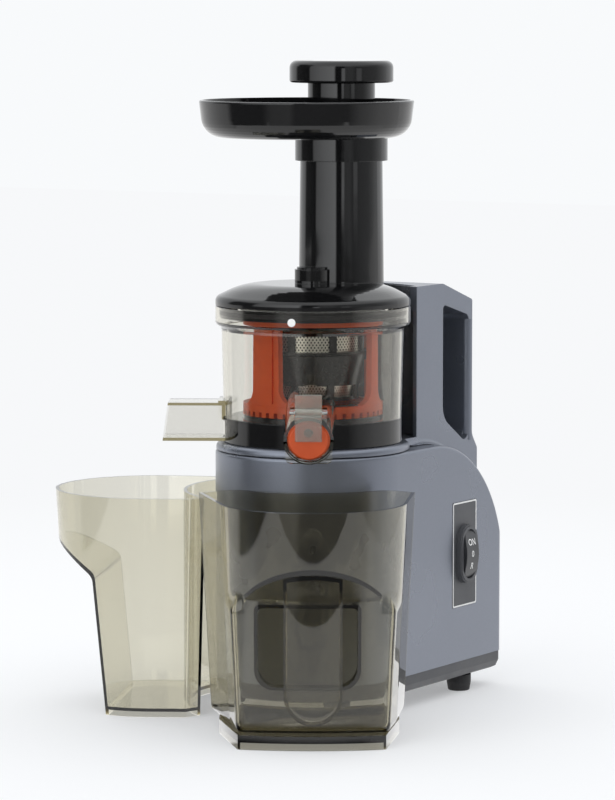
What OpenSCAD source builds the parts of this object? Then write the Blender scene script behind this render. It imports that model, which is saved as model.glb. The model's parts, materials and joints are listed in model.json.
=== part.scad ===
// Cold press juicer with a vertical auger, its juice jug and its pulp container.
// The drive axis is vertical. Each sub-part is drawn about that axis, with the
// front of the base towards -Y, and then set in the part's frame, whose origin
// lies on the worktop under the middle of the whole set.

/* [Base] */
// Radius of the base's round front
body_r = 66.5; // [60:0.5:80]
// Height of the deck that carries the bowl, above the worktop
deck_z = 183; // [172:1:215]
// Radius of the round shoulder behind the tower
shoulder_r = 97; // [85:1:100]
// Distance of the base's rear face behind the drive axis
base_rear = 150; // [148:1:180]
// Wall of the moulded housings
housing_wall = 2.6; // [2:0.1:4]
// Height of the dark base plate
plate_h = 12.5; // [10:0.5:18]
// Height of the rubber feet
foot_h = 11.5; // [8:0.5:16]
// Radius of a rubber foot
foot_r = 8.5; // [6:0.5:11]

/* [Tower] */
// Width of the rear tower
tower_w = 100; // [80:1:108]
// Height of the tower's top above the deck
tower_h = 103.4; // [96:0.5:140]
// Rear face of the carry handle, behind the drive axis
grip_rear = 132.5; // [128:0.5:138]
// Thickness of the handle's rear grip
grip_t = 5; // [4:0.5:9]
// Gap between the bowl's flange and the tower's hollow front
tower_gap = 7.5; // [3:0.5:10]

/* [Bowl] */
// Outer radius of the bowl's wall at its top
bowl_r = 62.3; // [56:0.1:64]
// Outer radius of the bowl's flange
flange_r = 66.5; // [64.5:0.5:69]
// Height of the bowl with its black base ring
bowl_h = 93; // [88:1:110]
// Height of the black base ring
ring_h = 16; // [16:0.5:19]
// Wall of the bowl
bowl_wall = 2.5; // [2:0.1:3.2]
// Outer radius of the juice spout
spout_r = 16.5; // [14:0.5:17.5]
// Length of the juice spout
spout_len = 60; // [52:1:75]
// Downward tilt of the juice spout
spout_tilt = 14; // [8:1:18]
// Direction of the juice spout, from the front towards +X
spout_azimuth = 30; // [20:1:40]
// Direction of the pulp duct, from the front towards +X
duct_azimuth = -60; // [-75:1:-50]
// Width of the pulp duct
duct_w = 30; // [24:1:34]
// Reach of the pulp duct from the drive axis
duct_reach = 100; // [90:1:115]

/* [Strainer, brush and auger] */
// Inside radius of the strainer at its top
strainer_r = 34.5; // [32:0.5:36]
// Inside radius of the strainer at its bottom
strainer_foot_r = 28.5; // [26:0.5:31]
// Outer radius of the brush's rings
brush_r = 47.5; // [46:0.5:52]
// Height of the lower brush ring
brush_ring_h = 9; // [8:0.5:11]
// Radius of the auger's core at its foot
auger_core_r = 17; // [14:0.5:19]
// Rise of the auger's flight in one turn
auger_pitch = 34; // [26:1:50]
// Number of flights on the auger
auger_flights = 2; // [1:1:3]

/* [Lid, tray and pusher] */
// Height of the lid's crown above the bowl's rim
crown_h = 14.5; // [13:0.5:20]
// Radius of the feed tube at its foot
tube_r = 29.3; // [26:0.1:31]
// Height of the feed tube above the bowl's rim
tube_h = 112; // [80:1:140]
// Wall of the feed tube
tube_wall = 4; // [3.6:0.1:5]
// Sideways place of the feed tube
tube_x = 5; // [0:0.5:8]
// Rearward place of the feed tube
tube_y = 29; // [26:0.5:32]
// Radius of the feed tray
tray_r = 73.3; // [66:0.1:85]
// Depth of the feed tray
tray_h = 25.3; // [20:0.1:35]
// Radius of the pusher's cap
cap_r = 35.5; // [30:0.5:40]
// Height of the pusher's cap
cap_h = 15; // [12:0.5:20]

/* [Gears] */
// Teeth of the motor pinion
motor_teeth = 15; // [14:1:18]
// Teeth of the large intermediate gear
wheel_teeth = 60; // [54:1:64]
// Tooth module of the first stage
module_1 = 1; // [0.8:0.05:1.1]
// Teeth of the intermediate pinion
pinion_teeth = 14; // [14:1:16]
// Teeth of the output gear
output_teeth = 56; // [50:1:60]
// Swing of the motor about the intermediate axle, off the middle plane
motor_swing = 32; // [28:1:36]
// Tooth module of the second stage
module_2 = 1.25; // [1:0.05:1.3]
// Teeth of the gear under the auger
auger_teeth = 24; // [22:2:26]
// Teeth of the brush's inner ring; with the auger's gear an odd idler must result
brush_teeth = 82; // [80:4:84]

/* [Vessels] */
// Height of the juice jug
jug_h = 155.5; // [130:0.5:160]
// Radius of the jug's round front
jug_r = 62; // [50:1:68]
// Height of the pulp container
pulp_h = 149.5; // [125:0.5:160]
// Radius of the pulp container's round end
pulp_r = 68; // [55:1:74]
// Wall of the jug and of the container
vessel_wall = 2.2; // [1.8:0.1:3]

/* [Hidden] */
$fn = 96;

// Clearances
slip = 0.3;          // between rigid pieces that lift off or slide
run = 0.05;          // radial, between a shaft and its bearing
seat = 0.1;          // between pieces that are assembled once
cut = 1;             // how far a cutter runs past a face

// Colours
body_grey = "#7f8791";
gloss_black = "#1d1d20";
dark_grey = "#4b4c50";
rubber_black = "#262628";
brush_orange = "#de5820";
smoke = [0.55, 0.53, 0.42, 0.6];
steel = "#b9bcc0";
copper = "#b5652d";

// Heights
plate_z = foot_h;
housing_z = plate_z + plate_h;          // where the grey housing starts
groove_h = 0.4;                         // seam between the housing and the deck
deck_t = 5;
edge_r = 2.4;                           // rounding of the lower housing's upper edges
seam_z = deck_z - deck_t - groove_h;    // top of the lower housing
tower_z = deck_z + tower_h;
floor_t = 3;
floor_z = deck_z + ring_h + 1;          // inside floor of the bowl
rim_z = deck_z + bowl_h;                // top edge of the bowl
flange_z = rim_z - 14;                  // foot of the bowl's flange
crown_z = rim_z + crown_h;              // top of the lid's crown
tray_z = rim_z + tube_h + 1;            // underside of the feed tray
collar_h = 16;
tray_rim_z = tray_z + tray_h;
cap_z = tray_rim_z + 11.7;              // underside of the pusher's cap
shoulder_y = base_rear - shoulder_r;
shoulder_z = seam_z - shoulder_r;

// The set's extent, from which the part's origin follows
vessel_azimuth = 31.4;
pulp_azimuth = -65;
pulp_centre_y = -109;
jug_centre_y = -118.6;
jug_foot = 0.885;            // the foot's share of the rim's size
ledge_z = 0.66 * jug_h;      // top of the jug's square foot part
jug_corner = [jug_r - 6, jug_centre_y - 47.4];
ledge_scale = jug_foot + (1 - jug_foot) * ledge_z / jug_h;
ledge_x = jug_corner[0] * ledge_scale;
ledge_y = jug_centre_y + (jug_corner[1] - jug_centre_y) * ledge_scale;
reach_left = pulp_r - pulp_centre_y * sin(-pulp_azimuth);
reach_right = ledge_x * cos(vessel_azimuth) - ledge_y * sin(vessel_azimuth);
reach_front = ledge_x * sin(vessel_azimuth) - ledge_y * cos(vessel_azimuth);
reach_rear = base_rear + 1.9;
axis_x = round(reach_left - reach_right) / 2;
axis_y = round(reach_front - reach_rear) / 2;

module at_origin() {
    translate([axis_x, axis_y, 0]) children();
}

// Turns the front (-Y) to a direction given as an angle from the front towards +X
module towards(azimuth) {
    rotate([0, 0, azimuth]) children();
}

module ring(r_out, r_in, z_low, z_high) {
    translate([0, 0, z_low]) difference() {
        cylinder(r = r_out, h = z_high - z_low);
        translate([0, 0, -cut]) cylinder(r = r_in, h = z_high - z_low + 2 * cut);
    }
}

module disc(r, z_low, z_high) {
    translate([0, 0, z_low]) cylinder(r = r, h = z_high - z_low);
}

// A slab of the 2-D child between two heights
module slab(z_low, z_high) {
    translate([0, 0, z_low]) linear_extrude(z_high - z_low) children();
}

// A profile drawn in (y, z), drawn out along x between two places
module across(x_low, x_high) {
    translate([x_low, 0, 0]) rotate([90, 0, 90]) linear_extrude(x_high - x_low) children();
}

// Points of an outline whose corners, given as [x, y, radius], are rounded
function unit(v) = v / norm(v);
function corner_arc(a, b, c, steps = 6) =
    b[2] <= 0 ? [[b[0], b[1]]] :
    let (p = [b[0], b[1]],
         u = unit([a[0], a[1]] - p),
         v = unit([c[0], c[1]] - p),
         half = acos(max(-1, min(1, u * v))) / 2,
         centre = p + unit(u + v) * b[2] / sin(half),
         from = p + u * b[2] / tan(half) - centre,
         to = p + v * b[2] / tan(half) - centre,
         a0 = atan2(from[1], from[0]),
         sweep = atan2(to[1], to[0]) - a0,
         turn = sweep > 180 ? sweep - 360 : sweep < -180 ? sweep + 360 : sweep)
    [for (i = [0 : steps])
        centre + b[2] * [cos(a0 + turn * i / steps), sin(a0 + turn * i / steps)]];
function rounded(corners, steps = 6) =
    let (n = len(corners))
    [for (i = [0 : n - 1])
        each corner_arc(corners[(i + n - 1) % n], corners[i], corners[(i + 1) % n], steps)];

module rounded_box_2d(w, h, r) {
    polygon(rounded([[-w / 2, -h / 2, r], [w / 2, -h / 2, r], [w / 2, h / 2, r], [-w / 2, h / 2, r]]));
}

// Involute gear outlines, with a tooth on the +X axis
pressure = 20;
addendum = 0.8;
dedendum = 1.1;
backlash = 0.16;
function involute(a) = tan(a) * 180 / PI - a;
function flank_angle(r, teeth, m, play) =
    let (pitch_r = teeth * m / 2, base_r = pitch_r * cos(pressure))
    (90 - play / m * 90 / PI) / teeth + involute(pressure)
        - (r > base_r ? involute(acos(base_r / r)) : 0);
function gear_points(teeth, m, high, low, play, steps = 3) =
    let (pitch_r = teeth * m / 2,
         tip = pitch_r + high * m,
         root = pitch_r - low * m,
         foot = max(root, pitch_r * cos(pressure)))
    [for (i = [0 : teeth - 1])
        let (mid = 360 * i / teeth)
        each concat(
            root < foot ? [root * [cos(mid - flank_angle(foot, teeth, m, play)),
                                   sin(mid - flank_angle(foot, teeth, m, play))]] : [],
            [for (k = [0 : steps])
                let (r = foot + (tip - foot) * k / steps, a = mid - flank_angle(r, teeth, m, play))
                r * [cos(a), sin(a)]],
            [for (k = [steps : -1 : 0])
                let (r = foot + (tip - foot) * k / steps, a = mid + flank_angle(r, teeth, m, play))
                r * [cos(a), sin(a)]],
            root < foot ? [root * [cos(mid + flank_angle(foot, teeth, m, play)),
                                   sin(mid + flank_angle(foot, teeth, m, play))]] : [])];

module gear_2d(teeth, m) {
    polygon(gear_points(teeth, m, addendum, dedendum, backlash));
}

// The space between the teeth of an internal gear
module ring_gear_space_2d(teeth, m) {
    polygon(gear_points(teeth, m, dedendum, addendum, -backlash));
}

// ---------- Base: housings, tower and feet ----------

corner_r = 8;              // rear corners of the base in plan
switch_y = 93;
switch_z = 99;
switch_w = 24;
switch_h = 41;
panel_w = 33;
panel_h = 73;
rest_pads = [[-54, 108], [54, 108], [-40, -34], [40, -34]];

module base_plan(inset = 0) {
    r = max(corner_r - inset, 0.5);
    half = body_r - inset;
    circle(r = half);
    translate([-half, 0]) square([2 * half, base_rear - inset - r]);
    translate([r - half, 0]) square([2 * (half - r), base_rear - inset]);
    for (side = [-1, 1])
        translate([side * (half - r), base_rear - inset - r]) circle(r = r);
}

// Side view (y, z) of the lower housing: flat deck line, then one round shoulder
module shoulder_profile(inset, z_low, z_high) {
    front = body_r + 10;
    intersection() {
        translate([-front, z_low]) square([front + base_rear + 10, z_high - z_low]);
        union() {
            translate([-front, z_low]) square([front + shoulder_y, seam_z - z_low]);
            translate([-front, z_low]) square([front + base_rear - inset, max(shoulder_z - z_low, 1)]);
            translate([shoulder_y, shoulder_z]) circle(r = shoulder_r - inset, $fn = 128);
        }
    }
}

module housing_mass(inset, z_low, z_high) {
    intersection() {
        slab(z_low, z_high) base_plan(inset);
        across(-body_r - 5, body_r + 5) shoulder_profile(inset, z_low, z_high);
    }
}

// What a rounding takes off a right corner at (u, v)
module edge_sliver_2d(u, v) {
    polygon([[u + cut, v - edge_r], [u + cut, v + cut], [u - edge_r, v + cut],
        for (a = [90 : -15 : 0]) [u - edge_r, v - edge_r] + edge_r * [cos(a), sin(a)]]);
}

// Rounds the edge between the sides and the deck line: round front, flanks, shoulder
module housing_edges() {
    intersection() {
        rotate_extrude() edge_sliver_2d(body_r, seam_z);
        translate([-100, -100, seam_z - 20]) cube([200, 100, 40]);
    }
    for (side = [0, 1]) mirror([side, 0, 0]) {
        translate([0, shoulder_y, 0]) rotate([90, 0, 0]) linear_extrude(shoulder_y)
            edge_sliver_2d(body_r, seam_z);
        intersection() {
            translate([0, shoulder_y, shoulder_z]) rotate([0, 90, 0])
                rotate_extrude($fn = 128) edge_sliver_2d(shoulder_r, body_r);
            translate([0, shoulder_y, shoulder_z]) cube([100, 200, 200]);
        }
    }
}

module switch_oval(grow, depth_low, depth_high) {
    translate([0, switch_y, switch_z])
        rotate([90, 0, 90])
            translate([0, 0, depth_low])
                linear_extrude(depth_high - depth_low)
                    rounded_box_2d(switch_w + 2 * grow, switch_h + 2 * grow, (switch_w / 2 + grow) * 0.98);
}

module base_housing() {
    color(body_grey) difference() {
        union() {
            difference() {
                housing_mass(0, housing_z, seam_z);
                housing_mass(housing_wall, housing_z - cut, seam_z - housing_wall);
                housing_edges();
            }
            // bosses that take the base plate's screws
            for (p = rest_pads) {
                translate([p[0], p[1], housing_z]) cylinder(r = 5, h = 22);
                intersection() {
                    translate([p[0], p[1], housing_z])
                        rotate([0, 0, p[1] > 0 ? (p[0] > 0 ? 0 : 180) : atan2(p[1], p[0])])
                            translate([0, -1, 0]) cube([30, 2, 22]);
                    housing_mass(1, housing_z, seam_z);
                }
            }
            // ribs that carry the gearbox
            for (side = [-1, 1])
                translate([side * 50 - 1, -30, gearbox_top - 14]) cube([2, 60, seam_z - gearbox_top + 12]);
        }
        for (p = rest_pads) translate([p[0], p[1], housing_z - cut]) cylinder(r = 1.6, h = 18);
        // opening under the deck for the gearbox cover and the drive shaft
        disc(34, seam_z - housing_wall - cut, seam_z + cut);
        // recess for the switch panel and opening for the switch
        translate([body_r - 1.2, switch_y - panel_w / 2 - seat, switch_z - panel_h / 2 - seat])
            cube([cut + 1.2, panel_w + 2 * seat, panel_h + 2 * seat]);
        switch_oval(-2, body_r - housing_wall - cut, body_r + cut);
        // opening into the hollow tower
        translate([-30, 80, seam_z - 30]) cube([60, 8, 40]);
    }
}

// Deck, tower and carry handle are one moulding
column_rear = 91;                        // front edge of the handle opening
heel_y = 140;
front_panel_t = 2.4;
tower_front_r = flange_r + tower_gap;    // hollow front, about the drive axis
cheek_w = 3;                             // narrow faces beside the front panel
brow_w = 5.6;                            // the same faces at the tower's head
brow_h = 17;
cheek_y = sqrt(tower_front_r * tower_front_r - tower_w * tower_w / 4);
flare_r = 4;                             // fillet at the tower's foot

module tower_side() {
    top = tower_z;
    difference() {
        polygon(rounded([
            [20, deck_z - 3, 0], [shoulder_y + 10, deck_z - 6, 0], [shoulder_y + 10, 100, 0],
            [heel_y, 100, 0], [heel_y, deck_z - 15, 3], [grip_rear, deck_z - 5, 10],
            [grip_rear, top - 13.4, 2], [column_rear, top, 8], [20, top, 0]]));
        translate([shoulder_y, shoulder_z]) circle(r = shoulder_r + groove_h, $fn = 128);
        translate([-100, 0]) square([100 + shoulder_y, seam_z + groove_h]);
    }
}

// Fillet between the tower's sides and the round shoulder, for one side
module foot_flare() {
    r = shoulder_r + groove_h;
    half = tower_w / 2;
    intersection() {
        translate([0, shoulder_y, shoulder_z]) rotate([0, 90, 0]) rotate_extrude($fn = 128)
            polygon([[r - 0.05, half - 1], [r - 0.05, half + flare_r],
                for (a = [90 : -15 : 0])
                    [r + 0.6 + flare_r, half + flare_r - 0.05] - flare_r * [sin(a), cos(a)],
                [r + 0.6 + flare_r, half - 1]]);
        across(half - 2, half + flare_r + cut) tower_side();
    }
}

// Rounds the inner corners of the grip, so that it has no sharp edge towards the hand
module grip_rounding() {
    r = grip_t * 0.88;
    front = grip_rear - grip_t;
    for (side = [0, 1]) mirror([side, 0, 0]) slab(deck_z - 9, tower_z - 27)
        polygon([[tower_w / 2 + cut, front + r], [tower_w / 2 + cut, front - cut],
            [tower_w / 2 - r, front - cut],
            for (a = [-90 : 15 : 0]) [tower_w / 2 - r, front + r] + r * [cos(a), sin(a)]]);
}

// Faces beside the front panel, wider at the tower's head
module tower_cheeks() {
    half = tower_w / 2;
    intersection() {
        across(-half, half) tower_side();
        for (side = [0, 1]) mirror([side, 0, 0]) {
            translate([half - cheek_w, cheek_y, deck_z - 4])
                cube([cheek_w + cut, column_rear - 5 - cheek_y, tower_h + 10]);
            translate([half - brow_w, cheek_y, tower_z - brow_h])
                cube([brow_w + cut, column_rear - 5 - cheek_y, brow_h + 10]);
        }
    }
}

module handle_opening() {
    polygon(rounded([
        [column_rear, deck_z + 10, 15], [grip_rear - grip_t, deck_z - 12.5, 6],
        [grip_rear - grip_t, tower_z - 24, 5], [column_rear, tower_z - 14.4, 3]]));
}

module upper_housing() {
    half = tower_w / 2;
    color(body_grey) difference() {
        union() {
            // deck with a rounded edge
            rotate_extrude() polygon(rounded([
                [0, seam_z + groove_h, 0], [body_r - 0.5, seam_z + groove_h, 0],
                [body_r - 0.5, deck_z, 3.8], [0, deck_z, 0]], 8));
            disc(body_r - edge_r - 1, seam_z, seam_z + groove_h);
            for (side = [0, 1]) mirror([side, 0, 0]) foot_flare();
            difference() {
                across(-half, half) tower_side();
                disc(tower_front_r + front_panel_t, deck_z, tower_z + cut);
            }
            tower_cheeks();
        }
        across(-half - cut, half + cut) handle_opening();
        grip_rounding();
        // hollow of the column, open to the lower housing
        intersection() {
            across(-half + housing_wall, half - housing_wall)
                translate([0, seam_z - cut]) square([column_rear - housing_wall, tower_h + deck_t - housing_wall]);
            difference() {
                disc(200, seam_z - cut, tower_z - housing_wall);
                disc(tower_front_r + front_panel_t + housing_wall, seam_z - 2 * cut, tower_z);
            }
        }
        // passage for the drive shaft and its seal
        disc(11, seam_z - cut, deck_z + cut);
    }
}

module tower_front_panel() {
    half = tower_w / 2 - seat;
    color(gloss_black) intersection() {
        ring(tower_front_r + front_panel_t - seat, tower_front_r, deck_z + 0.2, tower_z - 0.6);
        union() {
            translate([cheek_w - half, 0, deck_z])
                cube([2 * (half - cheek_w), 200, tower_h - brow_h - seat]);
            translate([brow_w - half, 0, deck_z]) cube([2 * (half - brow_w), 200, tower_h]);
        }
    }
}

module base_plate() {
    floor_of_plate = plate_z + 3;
    color(dark_grey) difference() {
        union() {
            // belly with a rounded lower edge
            hull() {
                slab(plate_z + 6, housing_z) base_plan(0.6);
                slab(plate_z + 1.6, plate_z + 2) base_plan(2.6);
                slab(plate_z, plate_z + 0.4) base_plan(6);
            }
            // lip that centres the plate inside the housing
            slab(housing_z - cut, housing_z + 3) base_plan(housing_wall + slip);
        }
        difference() {
            slab(floor_of_plate, housing_z + 3 + cut) base_plan(housing_wall + slip + 2.2);
            for (p = rest_pads) translate([p[0], p[1], plate_z]) cylinder(r = 7.5, h = plate_h);
            // socket of the run capacitor
            translate([capacitor_x, capacitor_y, plate_z]) cylinder(r = capacitor_r + 2.5, h = 12);
        }
        translate([capacitor_x, capacitor_y, floor_of_plate]) cylinder(r = capacitor_r + seat, h = 20);
        for (p = rest_pads) {
            translate([p[0], p[1], plate_z - cut]) cylinder(r = 1.8, h = plate_h + 6);
            translate([p[0], p[1], plate_z - cut]) cylinder(r = 6, h = cut + 3);
        }
        // the housing's bosses and their ribs stand on the pads
        for (p = rest_pads) translate([p[0], p[1], housing_z]) cylinder(r = 5 + slip, h = 10);
        for (p = rest_pads) translate([p[0], p[1], housing_z])
            rotate([0, 0, p[1] > 0 ? (p[0] > 0 ? 0 : 180) : atan2(p[1], p[0])])
                translate([0, -1 - slip, 0]) cube([30, 2 + 2 * slip, 10]);
        // cooling slots
        for (i = [-3 : 3]) translate([motor_x + i * 9 - 2, motor_y - 22, plate_z - cut]) cube([4, 44, 3 + 2 * cut]);
        // seat of the cord gland
        translate([gland_x, base_rear - 10, gland_z]) rotate([-90, 0, 0]) cylinder(r = gland_r, h = 20);
    }
}

gland_x = -30;
gland_z = plate_z + 8;
gland_r = 3.6;

// A grommet that holds the plate's rear wall between its two flanges
module cord_gland() {
    wall = housing_wall + slip + 2.2 - 0.6;
    color(rubber_black) translate([gland_x, base_rear - 0.6 - wall, gland_z]) rotate([-90, 0, 0]) difference() {
        union() {
            cylinder(r = gland_r - seat / 2, h = wall + 1);
            translate([0, 0, -2]) cylinder(r = gland_r + 1.2, h = 2 - seat);
            translate([0, 0, wall + seat]) cylinder(r1 = gland_r + 0.8, r2 = gland_r - 0.4, h = 2.4);
            translate([0, 0, -2]) cylinder(r = gland_r - seat / 2, h = 3);
        }
        translate([0, 0, -3]) cylinder(r = 2, h = wall + 8);
    }
}

module feet() {
    color(rubber_black) for (p = rest_pads) translate([p[0], p[1], 0])
        rotate_extrude() polygon(rounded([
            [0, 0, 0], [foot_r - 1, 0, 1], [foot_r, 6, 0], [foot_r, foot_h - 0.2, 0],
            [5.7, foot_h, 0], [5.7, foot_h + 1.2, 0], [0, foot_h + 1.2, 0]], 3));
}

module plate_screws() {
    color(steel) for (p = rest_pads) translate([p[0], p[1], plate_z + 1.4]) {
        cylinder(r = 3.2, h = 1.6);
        cylinder(r = 1.5, h = 22);
    }
}

// ---------- Switch ----------

rocker_pin_x = body_r + 1.6;
rocker_pin_r = 1.2;

// pin across the switch that the rocker tips on
module rocker_pin(r, reach) {
    translate([rocker_pin_x, switch_y, switch_z]) rotate([90, 0, 0])
        translate([0, 0, -reach]) cylinder(r = r, h = 2 * reach);
}

module switch_panel() {
    color(dark_grey) difference() {
        translate([body_r - 1.2, switch_y, switch_z]) rotate([90, 0, 90])
            linear_extrude(1.4) rounded_box_2d(panel_w, panel_h, 1.2);
        switch_oval(-2, body_r - 5, body_r + 5);
    }
}

module switch_bezel() {
    color(dark_grey) difference() {
        union() {
            switch_oval(0, body_r + 0.2, body_r + 4);
            switch_oval(-1, body_r + 4 - 0.01, body_r + 4.6);
            switch_oval(-2 - seat, body_r - 6, body_r + 0.3);
        }
        switch_oval(-3.2, body_r - 6 - cut, body_r + 8);
        rocker_pin(rocker_pin_r + run, switch_w / 2 - 1.2);
    }
}

module switch_rocker() {
    color(rubber_black) union() {
        intersection() {
            switch_oval(-3.7, body_r - 2, body_r + 8);
            // the face is a shallow round crown
            translate([body_r - 32, switch_y, switch_z]) rotate([90, 0, 0])
                translate([0, 0, -switch_w]) cylinder(r = 39, h = 2 * switch_w);
        }
        rocker_pin(rocker_pin_r, switch_w / 2 - 1.5);
    }
}

module switch_module() {
    inner = body_r - 6;
    block_w = switch_w - 4;
    block_h = switch_h - 8;
    color(gloss_black) union() {
        translate([inner - 20, switch_y - block_w / 2, switch_z - block_h / 2])
            cube([20, block_w, block_h]);
        for (i = [-1, 0, 1])
            translate([inner - 27, switch_y - 3, switch_z - 0.4 + i * 9]) cube([8, 6, 0.8]);
    }
}

// ---------- Motor and gearbox ----------

stage_1 = (motor_teeth + wheel_teeth) * module_1 / 2;      // centre distances
stage_2 = (pinion_teeth + output_teeth) * module_2 / 2;
inter_y = stage_2;
motor_x = stage_1 * sin(motor_swing);
motor_y = inter_y - stage_1 * cos(motor_swing);

gearbox_top = seam_z - housing_wall;
gearbox_bottom = gearbox_top - 46;
gear_1_z = gearbox_bottom + 6;
gear_1_t = 8;
gear_2_z = gear_1_z + gear_1_t + 4;
gear_2_t = 14;
cover_z = gearbox_top - 8;
motor_shaft_r = 4;
inter_shaft_r = 4;
output_shaft_r = 6;
bearing_t = 6;
bearing_r = 11;

motor_r = 35;
motor_top = gearbox_bottom;
motor_foot = max(housing_z + 4, motor_top - 96);
core_z = motor_foot + 26;
core_h = 38;
core_bore = 20;

capacitor_x = -34;
capacitor_y = 116;
capacitor_r = 16;

module stator_plan() {
    intersection() {
        circle(r = motor_r);
        rounded_box_2d(2 * motor_r - 6, 2 * motor_r - 6, 4);
    }
}

module motor_stator() {
    slots = 12;
    color(steel) translate([motor_x, motor_y, 0]) slab(core_z, core_z + core_h) difference() {
        stator_plan();
        circle(r = core_bore);
        for (i = [0 : slots - 1]) rotate(i * 360 / slots) {
            translate([core_bore - 1, -0.8]) square([4, 1.6]);
            translate([core_bore + 1.5, -2.4]) square([6, 4.8]);
        }
    }
}

module motor_windings() {
    color(copper) translate([motor_x, motor_y, 0]) {
        for (z = [core_z - 9, core_z + core_h])
            translate([0, 0, z]) rotate_extrude() polygon(rounded([
                [core_bore + 1.5, 0, 2], [core_bore + 8.5, 0, 2],
                [core_bore + 8.5, 9, 2], [core_bore + 1.5, 9, 2]], 3));
    }
}

post_r = 3;
post_at = motor_r + post_r + slip;

// Outline of an end shield: the core's own outline with four ears for the posts
module shield_plan() {
    reach = post_at + post_r + 2;
    intersection() {
        rounded_box_2d(2 * motor_r - 6, 2 * motor_r - 6, 4);
        union() {
            circle(r = motor_r);
            for (a = [45, 135]) rotate(a) square([2 * reach, 4 * post_r], center = true);
        }
    }
}

module motor_frame() {
    color("silver") translate([motor_x, motor_y, 0]) difference() {
        union() {
            // end shields, clamped on the core by four posts beside it
            for (z = [motor_foot, motor_top - 8]) slab(z, z + 8) shield_plan();
            for (a = [45 : 90 : 315]) rotate([0, 0, a])
                translate([post_at, 0, motor_foot + 4]) cylinder(r = post_r, h = motor_top - motor_foot - 8);
        }
        // bearing seats and shaft passages
        disc(bearing_r, motor_foot + 2, motor_foot + 8 + cut);
        disc(bearing_r, motor_top - 8 - cut, motor_top - 2);
        disc(motor_shaft_r + 1, motor_foot - cut, motor_top + cut);
        // air passages
        for (a = [0 : 60 : 300]) rotate([0, 0, a + 30]) translate([21, 0, motor_foot - cut])
            cylinder(r = 5, h = motor_top - motor_foot + 2 * cut);
    }
}

module bearing(shaft_r, z_low) {
    ring(bearing_r - seat / 2, shaft_r + run, z_low, z_low + bearing_t);
}

module motor_bearings() {
    color(steel) translate([motor_x, motor_y, 0]) {
        bearing(motor_shaft_r, motor_foot + 2);
        bearing(motor_shaft_r, motor_top - 2 - bearing_t);
    }
}

module motor_rotor() {
    blades = 12;
    color(steel) translate([motor_x, motor_y, 0]) {
        disc(core_bore - 0.6, core_z, core_z + core_h);
        disc(motor_shaft_r, motor_foot + 2.5, gear_1_z + gear_1_t);
        // cooling fan under the core
        ring(12, motor_shaft_r - 1, core_z - 11, core_z);
        for (i = [0 : blades - 1]) rotate([0, 0, i * 360 / blades])
            translate([11, -0.6, core_z - 11]) cube([8, 1.2, 9]);
    }
}

module motor_pinion() {
    color(steel) translate([motor_x, motor_y, 0]) slab(gear_1_z, gear_1_z + gear_1_t) difference() {
        rotate(90 + motor_swing) gear_2d(motor_teeth, module_1);
        circle(r = motor_shaft_r);
    }
}

module run_capacitor() {
    color("dimgray") translate([capacitor_x, capacitor_y, plate_z + 3])
        rotate_extrude() polygon(rounded([
            [0, 0, 0], [capacitor_r, 0, 1], [capacitor_r, 55, 2], [4, 55, 0], [4, 60, 1], [0, 60, 0]], 3));
}

module gearbox_plan(inset) {
    circle(r = output_teeth * module_2 / 2 + 8 - inset);
    translate([0, inter_y]) circle(r = wheel_teeth * module_1 / 2 + 7 - inset);
}

screw_spots = [[-32, -29], [32, -29], [-33, inter_y + 22], [33, inter_y + 22]];

module gearbox_housing() {
    color("silver") difference() {
        union() {
            slab(gearbox_bottom, cover_z) gearbox_plan(0);
            for (p = screw_spots) translate([p[0], p[1], gearbox_bottom]) cylinder(r = 5.5, h = cover_z - gearbox_bottom);
        }
        slab(gearbox_bottom + 4, cover_z + cut) difference() {
            gearbox_plan(3);
            for (p = screw_spots) translate(p) circle(r = 4);
        }
        translate([motor_x, motor_y, gearbox_bottom - cut]) cylinder(r = motor_shaft_r + 2, h = 10);
        translate([0, inter_y, gearbox_bottom + 1]) cylinder(r = inter_shaft_r, h = 10);
        disc(bearing_r, gearbox_bottom - cut, gearbox_bottom + 10);
        for (p = screw_spots) translate([p[0], p[1], cover_z - 14]) cylinder(r = 1.6, h = 20);
    }
}

module gearbox_cover() {
    color("silver") difference() {
        union() {
            slab(cover_z, cover_z + 4) gearbox_plan(0);
            disc(bearing_r + 3, cover_z, gearbox_top);
            for (p = screw_spots) translate([p[0], p[1], cover_z]) cylinder(r = 5.5, h = 4);
            // ring that the housing's ceiling clamps
            ring(37, 33, cover_z + 3, gearbox_top);
        }
        disc(bearing_r, cover_z - cut, cover_z + bearing_t);
        disc(output_shaft_r + 1, cover_z - cut, gearbox_top + cut);
        translate([0, inter_y, cover_z - cut]) cylinder(r = inter_shaft_r, h = 4);
        for (p = screw_spots) translate([p[0], p[1], cover_z - cut]) cylinder(r = 1.8, h = 10);
    }
}

module gearbox_screws() {
    color(steel) for (p = screw_spots) translate([p[0], p[1], cover_z - 12]) {
        cylinder(r = 1.5, h = 16);
        translate([0, 0, 16]) cylinder(r = 3, h = 2.2);
    }
}

module shaft_bearings() {
    color(steel) {
        bearing(output_shaft_r, gearbox_bottom + 0.2);
        bearing(output_shaft_r, cover_z);
    }
}

module intermediate_axle() {
    color(steel) translate([0, inter_y, 0]) disc(inter_shaft_r - run, gearbox_bottom + 1, cover_z + 2.8);
}

module intermediate_gear() {
    color("ivory") translate([0, inter_y, 0]) slab(gear_1_z, gear_1_z + gear_1_t) difference() {
        rotate(-90 + motor_swing + 180 / wheel_teeth) gear_2d(wheel_teeth, module_1);
        circle(r = 5.5);
        for (i = [0 : 5]) rotate(i * 60) translate([18, 0]) circle(r = 5);
    }
}

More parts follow.
